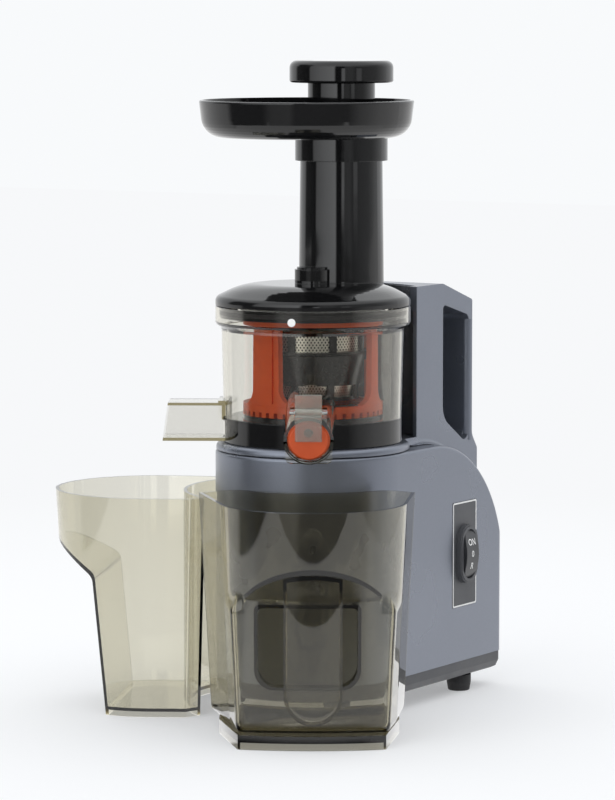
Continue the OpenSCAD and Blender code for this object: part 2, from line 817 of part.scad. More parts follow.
module intermediate_pinion() {
    color(steel) translate([0, inter_y, 0]) difference() {
        union() {
            slab(gear_1_z + gear_1_t + 1, gear_2_z + gear_2_t) rotate(-90) gear_2d(pinion_teeth, module_2);
            disc(5.5, gear_1_z, gear_1_z + gear_1_t + 2);
        }
        disc(inter_shaft_r + run, gear_1_z - cut, gear_2_z + gear_2_t + cut);
    }
}

module output_gear() {
    color("ivory") slab(gear_2_z, gear_2_z + gear_2_t) difference() {
        rotate(90 + 180 / output_teeth) gear_2d(output_teeth, module_2);
        circle(r = output_shaft_r);
        for (i = [0 : 5]) rotate(i * 60) translate([21, 0]) circle(r = 6.5);
    }
}

hex_r = 6.4;                 // corner radius of the hexagonal drive end
hex_top = floor_z + 24;

module drive_shaft() {
    color(steel) union() {
        disc(output_shaft_r, gearbox_bottom + 0.2, deck_z + 1);
        disc(output_shaft_r + 2.5, gear_2_z + gear_2_t + 0.3, cover_z - 0.3);
        translate([0, 0, deck_z]) cylinder(r = hex_r, h = hex_top - deck_z, $fn = 6);
    }
}

module deck_seal() {
    color(rubber_black) difference() {
        union() {
            disc(11 - seat / 2, deck_z - 5, deck_z);
            disc(13, deck_z, deck_z + 1.4);
        }
        disc(hex_r + slip, deck_z - 5 - cut, deck_z + 3);
    }
}

// ---------- Bowl ----------

bowl_foot_r = bowl_r - 1.3;
ring_r = bowl_foot_r;
spout_wall = 2.2;
spout_z = floor_z + 10;
duct_h = 26;
duct_wall = 2;
duct_z = deck_z + 1;
idler_teeth = (brush_teeth - auger_teeth) / 2;
idler_r = (auger_teeth + idler_teeth) / 2;      // centre distance, tooth module 1
idler_azimuth = 120;
idler_angle = idler_azimuth - 90;               // the same direction from +X
chute_r = 24;
chute_bore = 7.5;
chute_top = floor_z + 12.5;
gear_foot_z = floor_z + 1;
gear_face = 5;

// Frame of the juice spout: +Z runs outward along it, +Y is its upper side
module along_spout() {
    towards(spout_azimuth) translate([0, -bowl_foot_r, spout_z])
        rotate([90 + spout_tilt, 0, 0]) children();
}

module duct_outline(inset) {
    translate([-duct_w / 2 + inset, duct_z + inset])
        square([duct_w - 2 * inset, duct_h - 2 * inset]);
}

// The duct's outer end leans outward at its foot
module duct_end() {
    translate([-duct_w, 0, 0]) rotate([90, 0, 90]) linear_extrude(2 * duct_w)
        polygon([[-duct_reach - 2, duct_z - 1], [-bowl_foot_r + 3, duct_z - 1],
                 [-bowl_foot_r + 3, duct_z + duct_h + 1], [-duct_reach + 2, duct_z + duct_h + 1]]);
}

module duct_shape() {
    towards(duct_azimuth) intersection() {
        rotate([90, 0, 0]) translate([0, 0, bowl_foot_r - 4]) linear_extrude(duct_reach) duct_outline(0);
        duct_end();
    }
}

// The duct's passage. Above the floor it starts outside the bowl's wall.
module duct_passage() {
    towards(duct_azimuth) {
        rotate([90, 0, 0]) translate([0, 0, bowl_foot_r + 0.6]) linear_extrude(duct_reach)
            duct_outline(duct_wall);
        rotate([90, 0, 0]) translate([0, 0, bowl_foot_r - 4]) linear_extrude(10)
            translate([-duct_w / 2 + duct_wall, duct_z + duct_wall])
                square([duct_w - 2 * duct_wall, floor_z - duct_z - duct_wall - 1.6]);
    }
}

module bowl() {
    inner_top = flange_r - bowl_wall;
    color(smoke) difference() {
        union() {
            difference() {
                rotate_extrude() polygon([
                    [0, floor_z - 0.6], [bowl_foot_r, floor_z - 0.6], [bowl_r, flange_z - 3],
                    [bowl_r + 0.7, flange_z - 1], [flange_r - 0.7, flange_z + 1.2],
                    [flange_r, flange_z + 2.6], [flange_r, rim_z - 0.8], [flange_r - 0.8, rim_z],
                    [0, rim_z]]);
                rotate_extrude() polygon([
                    [0, floor_z - 2], [bowl_foot_r - bowl_wall, floor_z - 2],
                    [bowl_r - bowl_wall, flange_z], [inner_top, flange_z + 3],
                    [inner_top, rim_z + 1], [0, rim_z + 1]]);
            }
            difference() {
                union() {
                    along_spout() translate([0, 0, -4]) cylinder(r = spout_r, h = spout_len + 4);
                    // square foot of the spout's mouth, which the cap snaps on
                    along_spout() translate([0, 0, spout_len - 7]) linear_extrude(3)
                        polygon(rounded([[-spout_r + 1, -spout_r - 0.8, 3.5], [spout_r - 1, -spout_r - 0.8, 3.5],
                            [spout_r - 1, 0, 0], [-spout_r + 1, 0, 0]], 2));
                    // hinge ears of the cap
                    for (side = [-1, 1]) along_spout()
                        translate([side * (hinge_w / 2 + 1.5 + slip) - 1.5, spout_r - 8, hinge_s - 3.4])
                            cube([3, hinge_y - spout_r + 10.4, 5.6]);
                    duct_shape();
                    // collar of the duct against the wall
                    towards(duct_azimuth) translate([-duct_w / 2 - 1, -bowl_foot_r - 3, floor_z])
                        cube([duct_w + 2, 6, duct_z + duct_h - floor_z + 1.5]);
                }
                disc(bowl_foot_r - bowl_wall / 2, deck_z - 5, rim_z);
                // everything below the black ring's edge stays outside it
                disc(ring_r + seat, deck_z - 5, floor_z - 0.6);
            }
        }
        along_spout() translate([0, 0, -20]) cylinder(r = spout_r - spout_wall, h = spout_len + 30);
        duct_passage();
        hinge_bore();
    }
}

hinge_w = 17.5;
hinge_pin_r = 1.2;
hinge_y = spout_r + 2.6;                 // hinge of the spout's cap, in the spout's frame
hinge_s = spout_len - 1.8;

module hinge_bore() {
    along_spout() translate([-hinge_w, hinge_y, hinge_s]) rotate([0, 90, 0])
        cylinder(r = hinge_pin_r, h = 2 * hinge_w);
}

module bowl_base() {
    wall = 3;
    hub_r = 16;
    channel_start = sqrt(ring_r * ring_r - duct_w * duct_w / 4) - 0.5;
    color(gloss_black) difference() {
        union() {
            difference() {
                disc(ring_r, deck_z + 0.3, floor_z - 0.6);
                ring(ring_r - wall, hub_r, deck_z, floor_z - floor_t);
            }
            // floor inside the wall's foot
            disc(bowl_foot_r - bowl_wall - seat, floor_z - 1, floor_z);
            // track that the brush ring runs on
            ring(brush_r - 0.5, brush_r - 3.5, floor_z - 1, ring_foot_z - seat);
            // closed channel that leads the pulp out under the floor
            towards(duct_azimuth) translate([-duct_w / 2, -channel_start, deck_z + 0.3])
                cube([duct_w, channel_start - hub_r / 2 + 1, floor_z - deck_z - 1]);
            // chute that carries the strainer's foot
            towards(duct_azimuth) translate([0, -chute_r, floor_z - 1])
                cylinder(r = chute_bore + 2, h = chute_top - floor_z + 1);
            towards(idler_azimuth) translate([0, -idler_r, floor_z - 1]) cylinder(r = 4.5, h = 2);
            // gutter under the spout's root
            intersection() {
                along_spout() translate([0, 0, -30]) cylinder(r = spout_r + 2, h = 40);
                disc(ring_r, deck_z + 2, floor_z - 0.6);
            }
        }
        // bore that the shaft and its seal pass through
        disc(hex_r + 2.5, deck_z - cut, floor_z + cut);
        disc(hub_r - 2, deck_z - cut, deck_z + 3);
        // pulp channel and chute
        towards(duct_azimuth) {
            translate([-duct_w / 2 + 2, -ring_r - cut, deck_z + 2.3])
                cube([duct_w - 4, ring_r - hub_r - 1, floor_z - floor_t - deck_z - 2.3]);
            translate([0, -chute_r, deck_z + 3]) cylinder(r = chute_bore, h = 40);
        }
        towards(idler_azimuth) translate([0, -idler_r, floor_z - 3]) cylinder(r = 2, h = 10);
        along_spout() translate([0, 0, -30]) cylinder(r = spout_r - spout_wall, h = spout_len + 40);
        difference() {
            along_spout() translate([0, 0, -12]) cylinder(r = spout_r + seat, h = spout_len);
            disc(bowl_foot_r - bowl_wall / 2 - seat, deck_z - 5, rim_z);
        }
    }
}

module bowl_shaft_seal() {
    color(brush_orange) rotate_extrude() polygon([
        [hex_r + slip, deck_z + 6], [hex_r + 2.4, deck_z + 6], [hex_r + 2.4, floor_z],
        [hex_r + 3.4, floor_z], [hex_r + 3.4, floor_z + 0.7], [hex_r + slip, floor_z + 0.7]]);
}

module alignment_dot() {
    color("white") intersection() {
        ring(flange_r + 0.35, flange_r, flange_z, rim_z);
        towards(19) rotate([90, 0, 0]) translate([0, flange_z + 6.5, 0]) cylinder(r = 2.75, h = 100);
    }
}

module idler_pin() {
    color(steel) towards(idler_azimuth) translate([0, -idler_r, 0])
        disc(2 - 0.02, floor_z - 3, gear_foot_z + gear_face + 1.6);
}

module idler_gear() {
    color("ivory") towards(idler_azimuth) translate([0, -idler_r, 0]) rotate([0, 0, -idler_azimuth])
        slab(gear_foot_z + 0.3, gear_foot_z + gear_face) difference() {
            rotate(idler_angle + 180 + 180 / idler_teeth) gear_2d(idler_teeth, 1);
            circle(r = 2 + run);
            for (i = [0 : 4]) rotate(i * 72) translate([8, 0]) circle(r = 2.2);
        }
}

// ---------- Strainer ----------

band_low = floor_z + 23;
band_high = floor_z + 45;
strainer_top = floor_z + 60;
sheet = 0.6;
hub_r = 8.6;

sheet_z = chute_top + 2.6;       // foot of the steel sheet

function strainer_in(z) = strainer_foot_r
    + (strainer_r - strainer_foot_r) * min(1, max(0, (z - sheet_z) / (band_high - sheet_z)));

module strainer_frame() {
    ribs = 8;
    foot = chute_top + 0.1;
    color("#35342f") difference() {
        union() {
            // foot plate, band, lip and top ring
            disc(strainer_foot_r + 2.6, foot, foot + 2.5);
            rotate_extrude() polygon([
                [strainer_in(band_low) + sheet, band_low], [strainer_in(band_low) + sheet + 2, band_low],
                [strainer_in(band_high) + 2.4, band_high - 1.5], [strainer_in(band_high) + 6.4, band_high - 0.5],
                [strainer_in(band_high) + 6.4, band_high + 1.2], [strainer_in(band_high) + sheet, band_high + 1.2],
                [strainer_in(band_high) + sheet, band_high]]);
            ring(strainer_r + 2.8, strainer_r + sheet, strainer_top - 3, strainer_top);
            // upright ribs on the sheet
            for (i = [0 : ribs - 1]) rotate([0, 0, i * 360 / ribs + 8]) difference() {
                across(-2.4, 2.4) polygon([
                    [strainer_in(foot) - 4, foot], [strainer_in(foot) + 2.6, foot],
                    [strainer_in(band_low) + 2.6, band_low], [strainer_r + 2.6, band_high],
                    [strainer_r + 2.6, strainer_top], [strainer_r - 4, strainer_top]]);
                strainer_cone(sheet + 0.3, sheet_z, strainer_top + cut);
            }
        }
        disc(hub_r + slip, foot - cut, foot + 3 + cut);
        towards(duct_azimuth) translate([0, -chute_r + 3, foot - cut]) cylinder(r = chute_bore - 3, h = 4 + cut);
    }
}

// Room inside the sheet, grown by a thickness
module strainer_cone(grow, z_low, z_high) {
    rotate_extrude() polygon([
        [0, z_low], [strainer_in(z_low) + grow, z_low], [strainer_r + grow, band_high],
        [strainer_r + grow, z_high], [0, z_high]]);
}

module strainer_mesh() {
    color(steel) difference() {
        strainer_cone(sheet - 0.02, sheet_z, strainer_top);
        strainer_cone(0, sheet_z - 0.01, strainer_top + cut);
    }
}

// ---------- Brush ----------

brush_in = 43;
arm_foot_z = floor_z + brush_ring_h;
arm_top_z = flange_z;
ring_foot_z = floor_z + 2;
brush_top = flange_z + 8;
arm_azimuths = [-12, 93, 213];

module brush_frame() {
    notches = 44;
    notch_depth = 3.6;
    notch_h = 3.4;
    color(brush_orange) difference() {
        union() {
            // lower ring: gear inside, castellated edge outside
            slab(ring_foot_z, ring_foot_z + gear_face) difference() {
                circle(r = brush_r);
                rotate(idler_angle) ring_gear_space_2d(brush_teeth, 1);
            }
            ring(brush_r, brush_in, ring_foot_z + gear_face - 1, arm_foot_z + 1);
            ring(brush_r, brush_in - 0.5, flange_z + 1, brush_top);
            for (a = arm_azimuths) towards(a) brush_arm(a == arm_azimuths[0] ? 23 : 9);
        }
        // castellated foot
        for (i = [0 : notches - 1]) rotate([0, 0, i * 360 / notches])
            translate([brush_r - notch_depth, -1.3, ring_foot_z - cut])
                cube([notch_depth + cut, 2.6, notch_h + cut]);
        // groove that parts the wide arm in a blade and a rib
        towards(arm_azimuths[0]) translate([6.6, -brush_r - cut, arm_foot_z + 3])
            cube([1.4, cut + 1.9, flange_z - arm_foot_z - 2]);
        // slots that hold the wiper blades
        for (a = arm_azimuths) towards(a)
            translate([-0.8, -brush_in - 2.2, ring_foot_z + 8]) cube([1.6, 4, arm_top_z - ring_foot_z - 9]);
    }
}

// An upright arm whose foot flares into the lower ring
module brush_arm(width) {
    flare = 9;
    foot = width / 2 + flare;
    intersection() {
        ring(brush_r - 0.3, brush_in + 0.3, arm_foot_z, flange_z + 3);
        rotate([90, 0, 0]) linear_extrude(brush_r + 1) polygon(rounded([
            [-foot, arm_foot_z, 0], [foot, arm_foot_z, 0], [foot, arm_foot_z + 1.6, 0],
            [width / 2 + 0.6, arm_foot_z + 6, 10], [width / 2, flange_z + 3, 0],
            [-width / 2, flange_z + 3, 0], [-width / 2 - 0.6, arm_foot_z + 6, 10],
            [-foot, arm_foot_z + 1.6, 0]]));
    }
}

module brush_wipers() {
    low = ring_foot_z + 9;
    color("#c8481f") for (a = arm_azimuths) towards(a) difference() {
        translate([-0.7, -brush_in - 2.1, low]) cube([1.4, 5.6, arm_top_z - ring_foot_z - 11]);
        // the blade clears the strainer's band and lip
        disc(strainer_r + 3.4, low - cut, band_high - 3);
        disc(strainer_r + 7.2, band_high - 5, band_high + 3);
        disc(strainer_r + 3.4, band_high, flange_z);
    }
}

// ---------- Auger ----------

auger_foot = chute_top + 3.4;
auger_top = strainer_top + 18;
auger_tip_r = 9;
top_pin_r = 3;
bush_r = 4.2;

function auger_core(t) = t < 0.72
    ? auger_core_r - (auger_core_r - 13) * t / 0.72
    : 13 - (13 - auger_tip_r) * (t - 0.72) / 0.28;
function auger_reach(t) =
    let (z = auger_foot + t * (auger_top - auger_foot))
    t < 0.7 ? strainer_in(z) - 0.8 : (strainer_r - 0.8) * (1 - t) / 0.3 + auger_tip_r * (t - 0.7) / 0.3;
function flight(a) = let (u = (a % 360) / 360) u < 0 ? flight(a + 360)
    : u < 0.10 ? u / 0.10 : u < 0.17 ? 1 : u < 0.44 ? pow((0.44 - u) / 0.27, 1.8) : 0;

// The screw is one closed surface: rings of points round the core, each pushed out
// where a flight passes
module auger_screw() {
    around = 56;
    rings = 44;
    turn = (auger_top - auger_foot) / auger_pitch * 360;
    points = [for (j = [0 : rings], i = [0 : around - 1])
        let (t = j / rings,
             a = 360 * i / around,
             core = auger_core(t),
             r = core + (auger_reach(t) - core) * flight((a - turn * t) * auger_flights))
        [r * cos(a), r * sin(a), auger_foot + t * (auger_top - auger_foot)]];
    sides = [for (j = [0 : rings - 1], i = [0 : around - 1])
        let (n = (i + 1) % around, p = j * around, q = p + around)
        each [[p + i, q + i, q + n], [p + i, q + n, p + n]]];
    bottom = [for (i = [0 : around - 1]) i];
    top = [for (i = [around - 1 : -1 : 0]) rings * around + i];
    polyhedron(points, concat(sides, [bottom, top]), convexity = 8);
}

module auger() {
    color(gloss_black) difference() {
        auger_screw();
        disc(hub_r, auger_foot - cut, auger_foot + 12);
        disc(5, auger_top - 14, auger_top + cut);
    }
}

module auger_gear() {
    color(steel) difference() {
        union() {
            slab(gear_foot_z + 0.3, gear_foot_z + gear_face)
                rotate(idler_angle) gear_2d(auger_teeth, 1);
            disc(hub_r - 0.01, gear_foot_z + gear_face - 0.1, auger_foot + 11.9);
        }
        translate([0, 0, floor_z - cut]) cylinder(r = hex_r + 0.12, h = hex_top - floor_z + cut + 1, $fn = 6);
    }
}

module auger_shaft() {
    color(steel) rotate_extrude() polygon([
        [0, auger_top - 13.9], [4.99, auger_top - 13.9], [4.99, auger_top + 1],
        [top_pin_r, auger_top + 2], [top_pin_r, crown_z + 5], [top_pin_r - 1, crown_z + 6], [0, crown_z + 6]]);
}

// ---------- Cap of the juice spout ----------

stud_y = 6;                              // stud under the tongue, through the seal
stud_r = 3;

module spout_cap() {
    plug_r = spout_r - spout_wall - 1.6;
    s = spout_len;
    color([0.9, 0.9, 0.86, 0.4]) along_spout() difference() {
        union() {
            // lever: thumb tab above the hinge, and the tongue on the plug's face
            across(-hinge_w / 2, hinge_w / 2) polygon(rounded([
                [hinge_y - 1.4, hinge_s - 1.8, 0.6], [hinge_y + 1.6, hinge_s - 2.6, 0.6],
                [hinge_y + 10.4, hinge_s - 5.6, 0.8], [hinge_y + 11.2, hinge_s - 3.4, 0.8],
                [hinge_y + 2.8, hinge_s + 1.4, 1], [hinge_y + 1.4, s + 3.4, 2], [0.5, s + 3.4, 0.6],
                [0.5, s + 1.2, 0.6], [spout_r + 0.4, s + 1.2, 0], [spout_r + 0.4, hinge_s - 1.2, 0]], 3));
            // disc that holds the seal
            translate([0, 0, s - 4.2]) cylinder(r = plug_r - 2, h = 2.6);
            translate([0, stud_y, s - 1.7]) cylinder(r = stud_r, h = 3);
        }
        translate([-hinge_w, hinge_y, hinge_s]) rotate([0, 90, 0])
            cylinder(r = hinge_pin_r + run, h = 2 * hinge_w);
    }
}

module cap_seal() {
    s = spout_len;
    r = spout_r - spout_wall;
    color(brush_orange) along_spout() difference() {
        // soft disc with a lip that seals in the spout's mouth
        rotate_extrude() polygon([
            [0, s - 4.4], [r - 3.6, s - 4.4], [r - slip, s - 3.4], [r - slip, s - 2.2],
            [r - 1.8, s - 1], [r - 1.8, s - 0.1], [r - 2.2, s + 0.3], [0, s + 0.3]]);
        translate([0, 0, s - 4.2]) cylinder(r = r - 3.6, h = 2.6);
        translate([0, stud_y, s - 1.7]) cylinder(r = stud_r, h = 3);
        translate([0, 0, s - 6]) cylinder(r = r - 4.6, h = 2);
    }
}

module cap_hinge_pin() {
    color(steel) along_spout() translate([-hinge_w / 2 - 3.6, hinge_y, hinge_s]) rotate([0, 90, 0])
        cylinder(r = hinge_pin_r - 0.01, h = hinge_w + 7.2);
}

// ---------- Lid, tray and pusher ----------

lid_skirt_r = flange_r - bowl_wall - 0.6;
tube_top = tray_z - 0.8;
tube_in = tube_r - 1.3 - tube_wall;       // the bore is straight, the outside tapers
boss_r = 12.5;
boss_top = crown_z + 11;

module at_tube() {
    translate([tube_x, tube_y, 0]) children();
}

module lid_profile(inset) {
    r = flange_r - inset;
    polygon(rounded([
        [0, rim_z + 0.2, 0], [r, rim_z + 0.2, 0], [r, rim_z + 5.5 - inset / 2, 4.5 - inset / 2],
        [r * 0.72, crown_z - inset, 50], [0, crown_z - inset, 0]], 10));
}

module tube_cone(r_foot, z_low, z_high) {
    at_tube() translate([0, 0, z_low]) cylinder(r1 = r_foot, r2 = r_foot - 1.3, h = z_high - z_low);
}

module lid() {
    wall = 3;
    color(gloss_black) difference() {
        union() {
            rotate_extrude() lid_profile(0);
            // skirt that drops into the bowl's flange
            ring(lid_skirt_r, lid_skirt_r - 2.4, rim_z - 8, rim_z + 1);
            tube_cone(tube_r, crown_z - 10, tube_top);
            disc(boss_r, crown_z - 2, boss_top - 1.5);
            disc(boss_r - 1.5, crown_z - 2, boss_top);
        }
        difference() {
            rotate_extrude() lid_profile(wall);
            // the boss goes on inside, round the auger's bush
            disc(bush_r + 2.4, crown_z - 9, crown_z);
            // ledge that carries the skirt
            ring(flange_r, lid_skirt_r - 2.4, rim_z, rim_z + 2.6);
        }
        disc(lid_skirt_r - 2.4, rim_z - 10, rim_z + 2);
        // straight bore, with a ledge that the pusher's foot rests on
        at_tube() disc(tube_in, stem_foot - 0.1, tube_top + cut);
        at_tube() disc(tube_in - 3, rim_z + 1, stem_foot);
        at_tube() disc(tube_in, rim_z + 1, stem_foot - 3.5);
        disc(bush_r + seat, rim_z, crown_z + 8);
    }
}

module lid_seal() {
    color(brush_orange) ring(lid_skirt_r + 0.35, lid_skirt_r, rim_z - 6, rim_z - 3);
}

module lid_bush() {
    color("ivory") difference() {
        disc(bush_r, crown_z - 9, crown_z + 7.9);
        disc(top_pin_r + run, crown_z - 10, crown_z + 6.3);
    }
}

tray_x = -10;
tray_y = 8;
collar_r = tube_r + 2.4;

module feed_tray() {
    wall = 2.4;
    color(gloss_black) difference() {
        union() {
            translate([tray_x, tray_y, 0]) difference() {
                rotate_extrude() polygon(rounded([
                    [0, tray_z, 0], [tray_r - 3, tray_z, 14], [tray_r, tray_rim_z, 1.2],
                    [0, tray_rim_z, 0]], 8));
                rotate_extrude() polygon(rounded([
                    [0, tray_z + wall, 0], [tray_r - 3 - wall, tray_z + wall, 12],
                    [tray_r - wall, tray_rim_z + 1, 0], [0, tray_rim_z + 1, 0]], 8));
            }
            at_tube() disc(collar_r, tray_z - collar_h, tray_z + 1);
        }
        at_tube() {
            disc(tube_in, tray_z - cut, tray_z + 10);
            // the collar slips over the tube's mouth
            translate([0, 0, tray_z - collar_h - cut])
                cylinder(r = tube_r - 1.3 + slip + 0.25, h = collar_h + cut - 0.5);
        }
    }
}

stem_r = tube_in - 1;
stem_foot = rim_z + 30;

module pusher_stem() {
    color(gloss_black) at_tube() difference() {
        rotate_extrude() polygon(rounded([
            [0, stem_foot, 0], [stem_r, stem_foot, 2], [stem_r, cap_z - 0.2, 0],
            [stem_r - 2, cap_z - 0.2, 0], [stem_r - 2, cap_z + 3, 0], [0, cap_z + 3, 0]], 4));
        disc(stem_r - 3.4, stem_foot + 3, cap_z + 4);
    }
}

module pusher_cap() {
    color(gloss_black) at_tube() difference() {
        rotate_extrude() polygon(rounded([
            [0, cap_z, 0], [cap_r, cap_z, 1.5], [cap_r, cap_z + cap_h, 5], [0, cap_z + cap_h, 0]], 6));
        ring(stem_r + 0.02, stem_r - 2.02, cap_z - cut, cap_z);
        rotate_extrude() polygon([
            [0, cap_z - cut], [cap_r - 4, cap_z - cut], [cap_r - 6, cap_z + cap_h - 5], [0, cap_z + cap_h - 5]]);
    }
    // socket that grips the stem
    color(gloss_black) at_tube() ring(stem_r + 2, stem_r - 2 + 0.02, cap_z + 0.2, cap_z + cap_h - 4);
}

// ---------- Vessels ----------

// A vessel is a right cone in front, with flat flanks that touch it, drawn in at the
// foot by its draft. Its back is hollowed so that it follows the base.
function touch(corner, centre, r, side) =
    let (d = corner - centre,
         a = atan2(d[1], d[0]) + side * acos(r / norm(d)))
    centre + r * [cos(a), sin(a)];

module drafted(centre, h, foot, z_low, z_high) {
    low = foot + (1 - foot) * z_low / h;
    high = foot + (1 - foot) * z_high / h;
    translate([centre[0], centre[1], z_low]) linear_extrude(z_high - z_low, scale = high / low)
        scale([low, low]) translate(-centre) children();
}

module vessel_mass(centre, r, left, right, back_r, h, foot, inset, z_low, z_high) {
    l = left + [inset * 1.1, 0];
    t = right - [inset * 1.1, 0];
    front = r - inset;
    touching = front - 0.05;
    low = foot + (1 - foot) * z_low / h;
    high = foot + (1 - foot) * z_high / h;
    difference() {
        union() {
            translate([centre[0], centre[1], z_low])
                cylinder(r1 = front * low, r2 = front * high, h = z_high - z_low);
            drafted(centre, h, foot, z_low, z_high) polygon([
                l, touch(l, centre, touching, 1), centre, touch(t, centre, touching, -1), t, [0, -20]]);
        }
        translate([0, 0, z_low - cut]) cylinder(r = back_r + inset, h = z_high - z_low + 2 * cut);
    }
}

jug_centre = [0, jug_centre_y];
jug_left = [-76, -68];
jug_right = [68, -68];
jug_back_r = flange_r + 5.5;
shelf_z = 0.61 * jug_h;      // where the sloped ceiling leaves the front panel
panel_y = -159;
plinth_h = 9;
jug_floor = plinth_h + 2;
tongue_w = 38;
pocket_w = 69;
pocket_h = 55;
pocket_z = 65.5;
pocket_x = -3.5;
pocket_depth = 16;

module jug_mass(inset, z_low) {
    z_high = jug_h + (inset > 0 ? cut : 0);
    vessel_mass(jug_centre, jug_r, jug_left, jug_right, jug_back_r, jug_h, jug_foot, inset, z_low, z_high);
    // square foot part, whose corners stand out of the cone
    difference() {
        drafted(jug_centre, jug_h, jug_foot, z_low, ledge_z - inset) polygon([
            [-73 + inset, -95], [-jug_corner[0] - 1 + inset * 0.9, jug_corner[1] + inset],
            [jug_corner[0] - inset * 0.9, jug_corner[1] + inset],
            [68 - inset, -95], [50, -80], [-50, -80]]);
        disc(jug_back_r + inset, -cut, jug_h);
    }
}

// What is taken off the front: below a sloped ceiling, everything outside the panel
module jug_front_cut(inset) {
    lift = shelf_z + inset * 1.4;
    across(-100, 100) polygon([
        [-260, -cut], [panel_y + inset, -cut], [panel_y + inset, lift], [panel_y + inset - 60, lift + 60],
        [-260, lift + 60]]);
}

module jug_pocket(grow) {
    translate([pocket_x, panel_y + pocket_depth + grow, pocket_z]) rotate([90, 0, 0])
        linear_extrude(pocket_depth + 40)
            rounded_box_2d(pocket_w + 2 * grow, pocket_h + 2 * grow, 9 + grow);
}

// Outline of the tongue, seen from the front
module tongue_2d(inset) {
    half = tongue_w / 2 - inset;
    polygon(rounded([[-half, 16 + inset, half - 1], [half, 16 + inset, half - 1],
        [half, jug_h, 0], [-half, jug_h, 0]], 10));
}

module tongue_layer(r_out, r_in, inset, z_high) {
    intersection() {
        translate(jug_centre) ring(r_out, r_in, 10, z_high);
        translate([0, jug_centre_y, 0]) rotate([90, 0, 0]) linear_extrude(100) tongue_2d(inset);
    }
}

module jug_tongue() {
    front = jug_r - 2.4;
    difference() {
        intersection() {
            tongue_layer(front, front - 7, 0, ledge_z + 20);
            jug_front_cut(vessel_wall - 0.6);
        }
        tongue_layer(front - 2.4, front - 9, 2.4, ledge_z + 30);
    }
}

module juice_jug() {
    color(smoke) towards(vessel_azimuth) union() {
        difference() {
            jug_mass(0, plinth_h);
            jug_front_cut(0);
            difference() {
                jug_mass(vessel_wall, jug_floor);
                jug_front_cut(vessel_wall);
            }
            jug_pocket(0);
        }
        // the pocket's own wall
        difference() {
            intersection() {
                jug_pocket(vessel_wall);
                jug_mass(1, plinth_h + 1);
            }
            jug_pocket(0);
            jug_front_cut(0);
        }
        // hollow plinth with chamfered corners
        difference() {
            slab(0, plinth_h + 0.5) jug_plinth_2d(0);
            slab(-cut, plinth_h - 1.5) jug_plinth_2d(vessel_wall);
        }
        jug_tongue();
        // froth bar across the pouring corner
        intersection() {
            jug_mass(0, plinth_h);
            translate([-58, -120, jug_h - 9]) rotate([0, 0, 28]) cube([1.8, 90, 7]);
        }
    }
}

module jug_plinth_2d(inset) {
    difference() {
        polygon([[-62 + inset, -105], [-47.5 + inset * 0.8, -166 + inset], [46 - inset * 0.8, -166 + inset],
            [57 - inset, -105], [57 - inset, -60], [-62 + inset, -60]]);
        circle(r = jug_back_r + 1 + inset);
    }
}

container_centre = [0, pulp_centre_y];
container_left = [-66, -76];
container_right = [66, -76];
container_back_r = flange_r + 19.5;
container_foot = 0.877;
leg_y = -135;

module container_mass(inset, z_low) {
    vessel_mass(container_centre, pulp_r, container_left, container_right, container_back_r, pulp_h,
        container_foot, inset, z_low, pulp_h + (inset > 0 ? cut : 0));
}

// What is taken off outside the leg, below the overhanging lip
module container_cut(inset) {
    across(-100, 100) polygon(rounded([
        [-260, -cut, 0], [leg_y + inset, -cut, 0], [leg_y - 9 + inset, 0.63 * pulp_h + inset, 8],
        [-184, 0.82 * pulp_h + inset, 0], [-260, pulp_h + inset, 0]]));
}

module pulp_container() {
    floor_h = 6;
    color(smoke) towards(pulp_azimuth) difference() {
        container_mass(0, 0);
        container_cut(0);
        difference() {
            container_mass(vessel_wall, floor_h);
            container_cut(vessel_wall);
        }
        // hollow under the floor
        intersection() {
            container_mass(vessel_wall, -cut);
            translate([-100, leg_y + vessel_wall, -cut]) cube([200, 200, floor_h - vessel_wall + cut]);
        }
    }
}

// ---------- Nodes ----------

at_origin() base_housing();
at_origin() upper_housing();
at_origin() tower_front_panel();
at_origin() base_plate();
at_origin() feet();
at_origin() plate_screws();
at_origin() switch_panel();
at_origin() switch_bezel();
at_origin() switch_module();
at_origin() switch_rocker();
at_origin() cord_gland();
at_origin() motor_frame();
at_origin() motor_stator();
at_origin() motor_windings();
at_origin() motor_bearings();
at_origin() motor_rotor();
at_origin() motor_pinion();
at_origin() run_capacitor();
at_origin() gearbox_housing();
at_origin() gearbox_cover();
at_origin() gearbox_screws();
at_origin() shaft_bearings();
at_origin() intermediate_axle();
at_origin() intermediate_gear();
at_origin() intermediate_pinion();
at_origin() output_gear();
at_origin() drive_shaft();
at_origin() deck_seal();
at_origin() bowl();
at_origin() bowl_base();
at_origin() bowl_shaft_seal();
at_origin() alignment_dot();
at_origin() idler_pin();
at_origin() idler_gear();
at_origin() strainer_frame();
at_origin() strainer_mesh();
at_origin() brush_frame();
at_origin() brush_wipers();
at_origin() auger();
at_origin() auger_gear();
at_origin() auger_shaft();
at_origin() spout_cap();
at_origin() cap_seal();
at_origin() cap_hinge_pin();
at_origin() lid();
at_origin() lid_seal();
at_origin() lid_bush();
at_origin() feed_tray();
at_origin() pusher_stem();
at_origin() pusher_cap();
at_origin() juice_jug();
at_origin() pulp_container();
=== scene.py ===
"""Cold press juicer: finishes, printed marks, the juice jug's form and the studio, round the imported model."""
import json
import math
import bpy
from mathutils import Matrix, Vector


